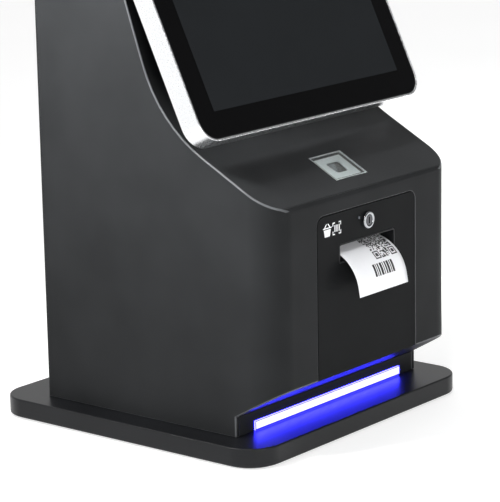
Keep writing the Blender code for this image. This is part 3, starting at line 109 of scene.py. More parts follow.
def linear(hex_colour):
    """An sRGB hex colour as linear RGBA."""
    channels = [int(hex_colour[i : i + 2], 16) / 255 for i in (1, 3, 5)]
    light = [c / 12.92 if c <= 0.04045 else ((c + 0.055) / 1.055) ** 2.4 for c in channels]
    return (*light, 1.0)


def add(tree, kind, inputs=None, **settings):
    """Adds a node with its settings; an input is a number, a colour or the socket that feeds it."""
    node = tree.nodes.new("ShaderNode" + kind)
    for key, value in settings.items():
        setattr(node, key, value)
    for key, value in (inputs or {}).items():
        if isinstance(value, bpy.types.NodeSocket):
            tree.links.new(value, node.inputs[key])
        else:
            node.inputs[key].default_value = value
    return node


def made_once(build):
    """Lets a material's function give back the one that has the name, if there is one."""
    def give(name, *inputs):
        return bpy.data.materials.get(name) or build(name, *inputs)
    return give


def new_material(name, values):
    """A named material, its tree and its shader, whose inputs start at the values."""
    material = bpy.data.materials.new(name)
    material.use_nodes = True
    tree = material.node_tree
    tree.nodes.clear()
    shader = add(tree, "BsdfPrincipled", values)
    add(tree, "OutputMaterial", {"Surface": shader.outputs["BSDF"]})
    return material, tree, shader


def darker(colour, share):
    return (*(c * share for c in colour[:3]), 1.0)


def speckle(tree, size, detail=2.0, roughness=0.5, stretch=(1, 1, 1)):
    """A noise whose features are about a size across, in metres."""
    place = add(tree, "TexCoord").outputs["Object"]
    scaled = add(tree, "Mapping", {"Vector": place, "Scale": stretch}).outputs["Vector"]
    inputs = {"Vector": scaled, "Scale": 1 / size, "Detail": detail, "Roughness": roughness}
    return add(tree, "TexNoise", inputs).outputs["Fac"]


def tint(shader, noise, first, second, socket="Base Color"):
    """Lets the shader's colour run from first to second with a noise."""
    tree = shader.id_data
    ramp = add(tree, "ValToRGB", {"Fac": noise})
    for element, place, colour in zip(ramp.color_ramp.elements, MOST_NOISE, (first, second)):
        element.position = place
        element.color = colour
    tree.links.new(ramp.outputs["Color"], shader.inputs[socket])


def roughen(shader, noise, low, high):
    """Lets the shader's roughness run from low to high with a noise."""
    tree = shader.id_data
    start, end = MOST_NOISE
    inputs = {"Value": noise, "From Min": start, "From Max": end, "To Min": low, "To Max": high}
    mapped = add(tree, "MapRange", inputs)
    tree.links.new(mapped.outputs["Result"], shader.inputs["Roughness"])


def emboss(shader, noise, depth, strength):
    """Raises the surface with a noise."""
    tree = shader.id_data
    bump = add(tree, "Bump", {"Height": noise, "Distance": depth, "Strength": strength})
    tree.links.new(bump.outputs["Normal"], shader.inputs["Normal"])


# ---- materials


@made_once
def powder_coat(name, colour, roughness=0.42, sheen=0.04):
    """Mild steel sheet, sprayed with fine-texture polyester powder and baked.

    The melted grains leave a close satin orange peel, so highlights are broad and slightly broken.
    Sheen is the level of its mirror reflection, low where the coat has a matting additive.
    """
    material, tree, shader = new_material(name, {"Specular IOR Level": sheen})
    grain = speckle(tree, 1.1 * MM, 3.0, 0.6)  # real grain is 0.4 mm; drawn 1.1 mm so it shows
    cloud = speckle(tree, 60 * MM, 2.0)
    tint(shader, cloud, darker(colour, 0.88), darker(colour, 1.10))
    roughen(shader, grain, roughness - 0.05, roughness + 0.07)
    emboss(shader, grain, 0.05 * MM, 0.55)
    return material


@made_once
def anodised_aluminium(name, colour, roughness=0.3):
    """Extruded aluminium, bead-blasted and clear anodised: pale, metallic and softly blurred."""
    material, tree, shader = new_material(name, {"Metallic": 1.0})
    blast = speckle(tree, 0.9 * MM, 2.0)  # real pits are 0.1 mm; drawn 0.9 mm so that they show
    draw = speckle(tree, 3 * MM, 2.0, 0.5, (1, 0.02, 0.02))  # faint lines along the extrusion
    tint(shader, draw, darker(colour, 0.95), colour)
    roughen(shader, blast, roughness - 0.04, roughness + 0.05)
    emboss(shader, blast, 0.01 * MM, 0.4)
    return material


@made_once
def zinc_plate(name, colour):
    """Folded steel, zinc electroplated and blue passivated: bright grey with faint clouding."""
    material, tree, shader = new_material(name, {"Metallic": 1.0})
    cloud = speckle(tree, 14 * MM, 3.0, 0.6)
    rolling = speckle(tree, 1.5 * MM, 2.0, 0.5, (1, 0.05, 1))  # rolling lines 1.5 mm apart
    tint(shader, cloud, darker(colour, 0.86), colour)
    roughen(shader, cloud, 0.24, 0.40)
    emboss(shader, rolling, 0.01 * MM, 0.5)
    return material


@made_once
def chrome_plate(name, colour):
    """Die-cast zinc, polished and plated: mirror-like, with fine handling haze."""
    material, tree, shader = new_material(name, {"Metallic": 1.0})
    haze = speckle(tree, 4 * MM, 3.0)
    tint(shader, haze, darker(colour, 0.94), colour)
    roughen(shader, haze, 0.05, 0.14)
    return material


@made_once
def moulded_abs(name, colour, roughness=0.46):
    """Injection-moulded ABS with a spark-eroded grain: matt, with tiny even pits."""
    material, tree, shader = new_material(name, {"Specular IOR Level": 0.42})
    pits = speckle(tree, 0.8 * MM, 2.0)  # real pits are 0.2 mm; drawn 0.8 mm so that they show
    cloud = speckle(tree, 25 * MM, 2.0)
    tint(shader, cloud, darker(colour, 0.9), colour)
    roughen(shader, pits, roughness - 0.05, roughness + 0.08)
    emboss(shader, pits, 0.03 * MM, 0.5)
    return material


@made_once
def cover_glass(name, colour):
    """Toughened soda-lime glass, screen printed black behind: deep black with a hard gloss."""
    material, tree, shader = new_material(name, {"IOR": 1.52, "Specular IOR Level": 0.15})
    smear = speckle(tree, 45 * MM, 3.0)
    tint(shader, smear, darker(colour, 0.92), colour)
    roughen(shader, smear, 0.05, 0.085)
    return material


@made_once
def float_glass(name, colour):
    """Clear float glass with an anti-reflection coat: see-through, with faint sharp reflections."""
    # float glass alone is 1.52; the coat lets less light back
    material, tree, shader = new_material(name, {"IOR": 1.2, "Transmission Weight": 1.0})
    smear = speckle(tree, 20 * MM, 2.0)
    tint(shader, smear, darker(colour, 0.97), colour)
    roughen(shader, smear, 0.0, 0.02)
    return material


@made_once
def thermal_paper(name, colour):
    """Coated thermal paper, calendered: smooth cold white with a faint sheen and soft fibres."""
    material, tree, shader = new_material(name, {"Specular IOR Level": 0.3})
    fibre = speckle(tree, 0.9 * MM, 4.0, 0.6)  # real fibres are 0.02 mm; drawn 0.9 mm
    tint(shader, fibre, darker(colour, 0.965), colour)
    roughen(shader, fibre, 0.48, 0.58)
    emboss(shader, fibre, 0.01 * MM, 0.3)
    return material


@made_once
def wound_paper(name, colour):
    """A roll of thermal paper: its ends show the edges of the turns as fine rings."""
    material, tree, shader = new_material(name, {"Roughness": 0.62})
    low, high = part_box("paper_roll")
    middle = (low + high) / 2
    place = add(tree, "TexCoord").outputs["Object"]
    shift = {"Vector": place, "Location": (0, -middle.y, -middle.z)}
    centred = add(tree, "Mapping", shift).outputs["Vector"]
    # turns are 0.06 mm thick; rings are drawn 2.4 mm apart so that they show
    rings = {"Vector": centred, "Scale": 1 / (2.4 * MM) / WAVES, "Distortion": 0.4}
    ring = add(tree, "TexWave", rings, wave_type="RINGS", rings_direction="X").outputs["Fac"]
    tint(shader, ring, darker(colour, 0.86), colour)
    emboss(shader, ring, 0.05 * MM, 0.4)
    return material


@made_once
def wound_board(name, colour):
    """Spiral-wound grey board: dull and fibrous."""
    material, tree, shader = new_material(name, {"Roughness": 0.86})
    fibre = speckle(tree, 1.2 * MM, 4.0, 0.7, (0.3, 1, 1))
    tint(shader, fibre, darker(colour, 0.75), colour)
    emboss(shader, fibre, 0.06 * MM, 0.6)
    return material


@made_once
def vulcanised_rubber(name, colour):
    """Moulded nitrile rubber: near black, dull, with a light bloom."""
    material, tree, shader = new_material(name, {})
    bloom = speckle(tree, 9 * MM, 4.0, 0.65)
    tint(shader, bloom, colour, darker(colour, 1.7))
    roughen(shader, bloom, 0.66, 0.82)
    emboss(shader, bloom, 0.04 * MM, 0.5)
    return material


@made_once
def natural_acetal(name, colour):
    """Moulded acetal, unpigmented: milky, waxy and slightly glossy."""
    values = {"Subsurface Weight": 0.1, "Subsurface Scale": 0.002}
    material, tree, shader = new_material(name, values)
    cloud = speckle(tree, 5 * MM, 2.0)
    tint(shader, cloud, darker(colour, 0.93), colour)
    roughen(shader, cloud, 0.3, 0.38)
    return material


@made_once
def rolled_plate(name, colour):
    """Hot-rolled steel plate, oiled: blue-black scale with brown patches."""
    material, tree, shader = new_material(name, {"Metallic": 0.8})
    scale = speckle(tree, 18 * MM, 5.0, 0.65)
    tint(shader, scale, colour, linear("#4a3f38"))
    roughen(shader, scale, 0.45, 0.7)
    emboss(shader, scale, 0.1 * MM, 0.5)
    return material


@made_once
def solder_mask(name, colour):
    """Glass-epoxy circuit board under green solder mask: glossy, with raised tracks."""
    material, tree, shader = new_material(name, {"Roughness": 0.3})
    place = add(tree, "TexCoord").outputs["Object"]
    # tracks about 5 mm apart
    cells = {"Vector": place, "Scale": 1 / (5 * MM), "Randomness": 0.75}
    tracks = add(tree, "TexVoronoi", cells, distance="MANHATTAN").outputs["Distance"]
    tint(shader, tracks, colour, darker(colour, 1.8))
    emboss(shader, tracks, 0.05 * MM, 0.5)
    return material


@made_once
def lit_opal_acrylic(name, colour, strength):
    """Extruded opal acrylic over diodes: an even, dazzling bar, a little weaker between them."""
    values = {"Base Color": linear("#dfe8ff"), "Roughness": 0.35, "Emission Strength": strength}
    material, tree, shader = new_material(name, values)
    place = add(tree, "TexCoord").outputs["Object"]
    # diodes are 16.7 mm apart
    row = {"Vector": place, "Scale": 1 / (16.7 * MM) / WAVES}
    wave = add(tree, "TexWave", row, wave_type="BANDS", bands_direction="X").outputs["Fac"]
    tint(shader, wave, darker(colour, 0.9), colour, "Emission Color")
    return material


@made_once
def printed_ink(name, colour, roughness=0.5):
    """Ink or film printed flat: even colour, with slightly uneven cover."""
    material, tree, shader = new_material(name, {"Roughness": roughness})
    cover = speckle(tree, 1.5 * MM, 3.0)
    tint(shader, cover, darker(colour, 0.92), colour)
    return material


# ---- mesh helpers


def to_mesh(shape, name):
    mesh = bpy.data.meshes.new(name)
    shape.to_mesh(mesh)
    shape.free()
    return mesh


def link(name, mesh, material, body, smooth=True):
    """Makes the piece, gives it its finish and lets it ride on its body."""
    for face in mesh.polygons:
        face.use_smooth = smooth
    piece = bpy.data.objects.new(name, mesh)
    bpy.context.scene.collection.objects.link(piece)
    mesh.materials.clear()
    mesh.materials.append(material)
    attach(piece, body)
    return piece


def round_edges(piece, width, segments, angle=SHARP, weighted=False):
    """Rounds the sharp edges and keeps the flats flat in the shading."""
    bevel = piece.modifiers.new("rounded_edges", "BEVEL")
    bevel.width = width
    bevel.segments = segments
    bevel.limit_method = "WEIGHT" if weighted else "ANGLE"
    bevel.angle_limit = math.radians(angle)
    bevel.use_clamp_overlap = False
    normals = piece.modifiers.new("flat_shading", "WEIGHTED_NORMAL")
    normals.weight = 100
    normals.keep_sharp = False
    return piece


def finished(node, material, width=None, share=None):
    """The CAD node's own form with its edges rounded, shown in its place.

    With share, a function of an edge's two ends, each sharp edge gets that share of the width.
    """
    if width is None:
        width = EDGES.get(node, USUAL_EDGE) * MM
    mesh = frame["nodes"][node].data.copy()
    shape = bmesh.new()
    shape.from_mesh(mesh)
    bmesh.ops.remove_doubles(shape, verts=shape.verts, dist=SAME_POINT)
    flat = math.radians(0.6)  # faces that turn less than this become one
    bmesh.ops.dissolve_limit(shape, angle_limit=flat, verts=shape.verts, edges=shape.edges)
    weight = shape.edges.layers.float.new("bevel_weight_edge") if share else None
    for edge in shape.edges:
        edge.smooth = True
        if share and edge.calc_face_angle() > math.radians(SHARP):
            edge[weight] = share(edge.verts[0].co, edge.verts[1].co)
    shape.to_mesh(mesh)
    shape.free()
    if mesh.has_custom_normals:
        mesh.attributes.remove(mesh.attributes["custom_normal"])
    body = frame["nodes"][node]["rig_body"]
    piece = link(node + "_finished", mesh, material, body)
    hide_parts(node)
    return round_edges(piece, width, FACETS.get(node, USUAL_FACETS), weighted=share is not None)


def paint(node, material):
    """Gives a CAD node that already has its shape a new finish."""
    obj = frame["nodes"][node]
    obj.data.materials.clear()
    obj.data.materials.append(material)


def plates(name, outlines, thickness, place, material, body):
    """Flat shapes of one thickness in a plane's own X and Y, set out of its face."""
    shape = bmesh.new()
    for outline in outlines:
        base = [shape.verts.new((u, v, 0)) for u, v in outline]
        top = [shape.verts.new((u, v, thickness)) for u, v in outline]
        shape.faces.new(base[::-1])
        shape.faces.new(top)
        for i in range(len(base)):
            j = (i + 1) % len(base)
            shape.faces.new((base[i], base[j], top[j], top[i]))
    bmesh.ops.recalc_face_normals(shape, faces=shape.faces)
    mesh = to_mesh(shape, name)
    mesh.transform(place)
    return link(name, mesh, material, body, smooth=False)


def bar(u0, v0, u1, v1):
    return [(u0, v0), (u1, v0), (u1, v1), (u0, v1)]


def stroke(start, end, width):
    """A straight line of a width, as an outline."""
    a, b = Vector(start), Vector(end)
    along = (b - a).normalized() * width / 2
    side = Vector((-along.y, along.x))
    corners = a - along - side, b + along - side, b + along + side, a - along + side
    return [tuple(c) for c in corners]


def rounded_rectangle(width, height, radius, count):
    """An outline whose rounded corners have a count of facets each."""
    points = []
    for quarter, (sx, sy) in enumerate(((1, 1), (-1, 1), (-1, -1), (1, -1))):
        centre = Vector((sx * (width / 2 - radius), sy * (height / 2 - radius)))
        for i in range(count + 1):
            angle = math.pi / 2 * (quarter + i / count)
            points.append(tuple(centre + Vector((math.cos(angle), math.sin(angle))) * radius))
    return points


def hexagon(angle, flat):
    """Radius of a hexagon socket, flat to flat, at an angle."""
    return flat / 2 / math.cos((angle + math.pi / 6) % (math.pi / 3) - math.pi / 6)


def button_head(name, place, body):
    """A button-head socket screw, in its own axes with +Z out of the face."""
    radius = 2.8 * MM
    socket = 0.72 * radius  # flat to flat
    dome = ((1, 0), (0.99, 0.22), (0.86, 0.42), (0.62, 0.55), (0.46, 0.58))  # radius, height
    count = 24
    angles = [2 * math.pi * i / count for i in range(count)]
    rings = [[(share * radius, height * radius)] * count for share, height in dome]
    for height in (0.55, 0.12):  # the socket's rim and floor
        rings.append([(hexagon(a, socket), height * radius) for a in angles])
    shape = bmesh.new()
    loops = [[shape.verts.new((r * math.cos(a), r * math.sin(a), height))
              for a, (r, height) in zip(angles, ring)] for ring in rings]
    for first, second in zip(loops, loops[1:]):
        for i in range(count):
            j = (i + 1) % count
            shape.faces.new((first[i], first[j], second[j], second[i]))
    shape.faces.new(loops[0][::-1])
    shape.faces.new(loops[-1])
    mesh = to_mesh(shape, name)
    mesh.transform(place)
    steel = zinc_plate("zinc_plated_screw_steel", linear("#8d8f92"))
    screw = link(name, mesh, steel, body)
    return round_edges(screw, 0.15 * MM, segments=1, angle=40)


def facing(origin, across, up):
    """A plane's axes from its origin and two directions in it."""
    x, y = Vector(across).normalized(), Vector(up).normalized()
    z = x.cross(y)
    turn = Matrix((x, y, z)).transposed().to_4x4()
    return Matrix.Translation(origin) @ turn


def plane_of(node, rank):
    """Normal and upward direction of a node's best ranked face, and the node's reach along both."""
    mesh = frame["nodes"][node].data
    normal = Vector(max(mesh.polygons, key=rank).normal)
    up = normal.cross(ACROSS)
    depths = [v.co.dot(normal) for v in mesh.vertices]
    heights = [v.co.dot(up) for v in mesh.vertices]
    return normal, up, (min(depths), max(depths)), (min(heights), max(heights))


# ---- settings


class KioskFinishes(bpy.types.PropertyGroup):
    """Colours of the painted, moulded and lit surfaces."""

    cabinet: FloatVectorProperty(
        name="Cabinet", description="Powder coat of the cabinet", subtype="COLOR", size=4,
        min=0, max=1, default=linear("#252627"))
    door: FloatVectorProperty(
        name="Printer door", description="Powder coat of the printer door", subtype="COLOR", size=4,
        min=0, max=1, default=linear("#131415"))
    base: FloatVectorProperty(
        name="Base", description="Powder coat of the base tray", subtype="COLOR", size=4,
        min=0, max=1, default=linear("#17181a"))
    frame: FloatVectorProperty(
        name="Display frame", description="Anodised aluminium round the glass", subtype="COLOR",
        size=4, min=0, max=1, default=linear("#f6f7f9"))
    glass: FloatVectorProperty(
        name="Cover glass", description="Black print behind the cover glass", subtype="COLOR",
        size=4, min=0, max=1, default=linear("#070708"))
    panel: FloatVectorProperty(
        name="Panel", description="The display's dark picture area", subtype="COLOR", size=4,
        min=0, max=1, default=linear("#1f2123"))
    light: FloatVectorProperty(
        name="Light bar", description="Colour of the light bar", subtype="COLOR", size=4,
        min=0, max=1, default=(0.026, 0.024, 1.0, 1.0))
    paper: FloatVectorProperty(
        name="Paper", description="Thermal paper", subtype="COLOR", size=4,
        min=0, max=1, default=linear("#eeeff2"))
    plastic: FloatVectorProperty(
        name="Moulded parts", description="Black moulded parts", subtype="COLOR", size=4,
        min=0, max=1, default=linear("#17181a"))
    light_strength: FloatProperty(
        name="Light strength", description="Brightness of the light bar", min=0, max=500,
        default=33)


class KioskSizes(bpy.types.PropertyGroup):
    """Sizes of the small details."""

    sheet_edge: FloatProperty(
        name="Sheet edge", description="Rounding of coated sheet edges", unit="LENGTH",
        min=0.1 * MM, max=3 * MM, default=0.9 * MM)
    corner_edge: FloatProperty(
        name="Corner edge", description="Rounding where the side panels meet the front sheet",
        unit="LENGTH", min=0.1 * MM, max=3 * MM, default=1.4 * MM)
    mould_edge: FloatProperty(
        name="Moulded edge", description="Rounding of moulded edges", unit="LENGTH",
        min=0.05 * MM, max=1 * MM, default=0.3 * MM)
    film: FloatProperty(
        name="Film", description="Thickness of printed film and ink", unit="LENGTH",
        min=0.01 * MM, max=0.5 * MM, default=0.06 * MM)
    code_cell: FloatProperty(
        name="Code cell", description="Side of one square of the printed code", unit="LENGTH",
        min=0.5 * MM, max=3 * MM, default=1.28 * MM)


class KioskStage(bpy.types.PropertyGroup):
    """Camera, floor and lights."""

    place: FloatVectorProperty(
        name="Camera place", description="Where the camera stands", subtype="TRANSLATION", size=3,
        default=(-1.8639, -1.5312, 0.7190))
    yaw: FloatProperty(
        name="Yaw", description="Turn of the view from +Y towards +X", subtype="ANGLE",
        default=math.radians(51.067))
    pitch: FloatProperty(
        name="Pitch", description="Tilt of the view below the horizon", subtype="ANGLE",
        default=math.radians(13.062))
    roll: FloatProperty(
        name="Roll", description="Turn of the view about its own line", subtype="ANGLE",
        default=math.radians(-1.068))
    lens: FloatProperty(
        name="Lens", description="Focal length in millimetres on a 36 mm frame", min=10, max=400,
        default=173.99)
    sky: FloatProperty(
        name="Surroundings", description="Brightness of the bright side of the studio", min=0,
        max=5, default=0.85)
    front: FloatProperty(
        name="Front", description="Brightness of the studio before the kiosk", min=0, max=5,
        default=0.15)
    key: FloatProperty(
        name="Key", description="Power of the large light at the left", unit="POWER", min=0,
        max=1000, default=33)
    top: FloatProperty(
        name="Top", description="Power of the soft light above the kiosk", unit="POWER", min=0,
        max=1000, default=14)
    fill: FloatProperty(
        name="Fill", description="Power of the soft light above the customer", unit="POWER", min=0,
        max=1000, default=26)
    edge: FloatProperty(
        name="Edge", description="Power of the small light that picks out the sheet edges",
        unit="POWER", min=0, max=1000, default=3)


# ---- pieces


def looks():
    return bpy.context.scene.kiosk_finishes


def details():
    return bpy.context.scene.kiosk_sizes


def coat(name):
    """One of the three powder coats; the base's is smoother and glossier."""
    roughness, sheen = (0.34, 0.2) if name == "base" else (0.42, 0.04)
    colour = tuple(getattr(looks(), name))
    return powder_coat("powder_coated_steel_" + name, colour, roughness, sheen)


def black_abs():
    return moulded_abs("moulded_black_abs", tuple(looks().plastic))


def plated_steel():
    return zinc_plate("zinc_plated_steel", linear("#b9bcc0"))


def nitrile_rubber():
    return vulcanised_rubber("moulded_nitrile_rubber", linear("#141414"))


def green_board():
    return solder_mask("green_solder_mask_board", linear("#0f4a2a"))


def receipt_stock():
    return thermal_paper("coated_thermal_paper", tuple(looks().paper))


class KIOSK_OT_base(bpy.types.Operator):
    """Base tray, ballast, bottom cover and rubber sheet"""

    bl_idname = "kiosk.base"
    bl_label = "Base"

    def execute(self, context):
        finished("base_tray", coat("base"))
        finished("anti_slip_mat", nitrile_rubber())
        paint("ballast_plate", rolled_plate("hot_rolled_steel_plate", linear("#26282b")))
        paint("base_bottom_cover", plated_steel())
        return {"FINISHED"}


class KIOSK_OT_cabinet(bpy.types.Operator):
    """Cabinet skin, floor tray and kick panel"""

    bl_idname = "kiosk.cabinet"
    bl_label = "Cabinet"

    CUT_EDGE = 0.35  # rounding of the sheet's cut edges, as a share of the outer corners'
    FLAT_SIDE = 0.2 * MM  # how near the side a point has to be to lie on it
    ROUND_CORNER = 0.4 * MM  # the same for the rounded front corners

    def outer_edge(self, first, second):
        """The whole rounding on the cabinet's outer corners, and less on its sheet's cut edges."""
        low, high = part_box("cabinet_shell")
        centre_x, centre_y = high.x - FRONT_CORNER, low.y + FRONT_CORNER

        def outside(point):
            if abs(point.x) > high.x - self.FLAT_SIDE:
                return True
            in_corner = abs(point.x) > centre_x and point.y < centre_y
            reach = math.hypot(abs(point.x) - centre_x, point.y - centre_y)
            return in_corner and reach > FRONT_CORNER - self.ROUND_CORNER

        return 1.0 if outside(first) and outside(second) else self.CUT_EDGE

    def execute(self, context):
        edge = details().corner_edge
        shell = finished("cabinet_shell", coat("cabinet"), edge, self.outer_edge)
        # the rounded edges get a second, glossier coat in a lighter grey; the lighter grey is a
        # painted highlight along the folds and corners
        painted_edge_highlight = powder_coat("powder_coated_steel_worn_edge", linear("#505254"), 0.34, 0.35)
        shell.data.materials.append(painted_edge_highlight)
        shell.modifiers["rounded_edges"].material = 1
        finished("kick_panel", coat("cabinet"))
        finished("vesa_bracket", coat("cabinet"), details().sheet_edge)
        finished("cabinet_floor", plated_steel())
        return {"FINISHED"}


class KIOSK_OT_light_bar(bpy.types.Operator):
    """Lit diffuser and its strip of diodes"""

    bl_idname = "kiosk.light_bar"
    bl_label = "Light bar"

    LOWER_LIP = 1.1 * MM
    UPPER_LIP = 0.5 * MM
    END_LIP = 0.6 * MM
    PROUD = 0.35 * MM  # how far the lips stand before the diffuser

    def execute(self, context):
        colour, strength = tuple(looks().light), looks().light_strength
        finished("led_diffuser", lit_opal_acrylic("lit_opal_acrylic", colour, strength))
        paint("led_strip", solder_mask("white_solder_mask_board", linear("#c9cbc4")))
        self.rim()
        return {"FINISHED"}

    def rim(self):
        """Thin black lips of the channel that holds the diffuser."""
        low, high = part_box("led_diffuser")
        tall = high.z - low.z
        strips = [
            bar(low.x, 0, high.x, self.LOWER_LIP),
            bar(low.x, tall - self.UPPER_LIP, high.x, tall),
            bar(low.x, self.LOWER_LIP, low.x + self.END_LIP, tall - self.UPPER_LIP),
            bar(high.x - self.END_LIP, self.LOWER_LIP, high.x, tall - self.UPPER_LIP),
        ]
        place = facing((0, low.y, low.z), ACROSS, UP)
        plates("light_bar_rim", strips, self.PROUD, place, black_abs(), "cabinet")


class KIOSK_OT_printer_door(bpy.types.Operator):
    """Tilting printer door with its brackets, status light and scan sign"""

    bl_idname = "kiosk.printer_door"
    bl_label = "Printer door"

    SIGN_X, SIGN_Z = -57 * MM, 214.5 * MM  # the sign's middle
    LINE = 1.1 * MM  # width of its lines
    CODE_X = 7.5 * MM  # middle of the brackets, and their half width, half height and arms
    BRACKET = Vector((6.2, 5.6)) * MM
    ARM = 2.6 * MM
    CODE_HALF = 3.4 * MM  # half height of the bars, then each bar's left end and width in mm
    CODE = ((3.6, 1.0), (5.4, 0.6), (6.9, 1.3), (9.0, 0.6), (10.8, 1.2))
    BASKET = ((-13.2, 1.0), (-2.2, 1.0), (-3.7, -6.0), (-11.7, -6.0))  # corners in mm
    HANDLES = (  # ends of the basket's rim and of its two handles, in mm
        ((-13.9, 2.4), (-1.5, 2.4)),
        ((-11.6, 3.4), (-9.0, 6.2)),
        ((-3.8, 3.4), (-6.4, 6.2)),
    )

    def execute(self, context):
        finished("printer_door", coat("door"))
        for side in ("left", "right"):
            finished("door_hinge_bracket_" + side, plated_steel())
        finished("status_light", moulded_abs("smoked_acrylic_lens", linear("#3a3f45"), 0.15))
        self.sign()
        return {"FINISHED"}

    def sign(self):
        """A basket beside a bar code between corner brackets."""
        place = facing((self.SIGN_X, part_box("printer_door")[0].y, self.SIGN_Z), ACROSS, UP)
        line = self.LINE
        shapes = []
        for sx in (-1, 1):
            for sy in (-1, 1):
                corner = Vector((self.CODE_X + sx * self.BRACKET.x, sy * self.BRACKET.y))
                start, end = corner - Vector((0, sy * line)), corner - Vector((0, sy * self.ARM))
                shapes.append(stroke(corner, corner - Vector((sx * self.ARM, 0)), line))
                shapes.append(stroke(start, end, line))
        for left, width in self.CODE:
            shapes.append(bar(left * MM, -self.CODE_HALF, (left + width) * MM, self.CODE_HALF))
        shapes.append([(u * MM, v * MM) for u, v in self.BASKET])
        for start, end in self.HANDLES:
            shapes.append(stroke(Vector(start) * MM, Vector(end) * MM, line))
        white = printed_ink("screen_printed_white_ink", linear("#f2f3f5"), 0.45)
        plates("scan_sign", shapes, details().film, place, white, "printer_door")


class KIOSK_OT_lock(bpy.types.Operator):
    """Cam lock of the printer door"""

    bl_idname = "kiosk.lock"
    bl_label = "Cam lock"

    def execute(self, context):
        finished("lock_barrel", chrome_plate("darkened_nickel_plate", linear("#a2a4a7")))
        # the plug's plate is given a much darker grey than the barrel's
        finished("lock_plug", chrome_plate("worn_nickel_plate", linear("#4c4d50")))
        finished("lock_nut", plated_steel())
        finished("lock_cam", plated_steel())
        return {"FINISHED"}


def paper_line():
    """The middle line of the issued receipt in (y, z), from the cutter to its free end."""
    shape = bmesh.new()
    shape.from_mesh(frame["nodes"]["receipt"].data)
    bmesh.ops.remove_doubles(shape, verts=shape.verts, dist=SAME_POINT)
    bmesh.ops.dissolve_limit(shape, angle_limit=0.01, verts=shape.verts, edges=shape.edges)
    cap = max(shape.faces, key=lambda f: (round(f.normal.x, 2), f.calc_area()))
    ring = [Vector((v.co.y, v.co.z)) for v in cap.verts]
    shape.free()
    count = len(ring)
    lengths = [(ring[(i + 1) % count] - ring[i]).length for i in range(count)]
    first, second = sorted(sorted(range(count), key=lambda i: lengths[i])[:2])
    one = ring[first + 1 : second + 1]
    other = ring[second + 1 :] + ring[: first + 1]
    middle = [(a + b) / 2 for a, b in zip(one, reversed(other))]
    return middle if middle[0].x > middle[-1].x else middle[::-1]


def along_line(line, distance):
    """Point and outward normal on the line, a distance from its free end."""
    line = line[::-1]
    for a, b in zip(line, line[1:]):
        step = (b - a).length
        if distance <= step or b is line[-1]:
            direction = (b - a).normalized()
            return a + direction * distance, Vector((-direction.y, direction.x))
        distance -= step


def code_squares(count, seed):
    """Filled cells of a made-up square code with three corner marks, each seven cells wide."""
    draw = random.Random(seed)
    filled = []
    near, far = 3, count - 4  # middle cells of the marks
    for row in range(count):
        for column in range(count):
            dark = draw.random() < 0.5
            for r, c in ((near, near), (near, far), (far, far)):
                ring = max(abs(row - r), abs(column - c))
                if ring <= 4:
                    dark = ring in (0, 1, 3)
            if dark:
                filled.append((row, column))
    return filled


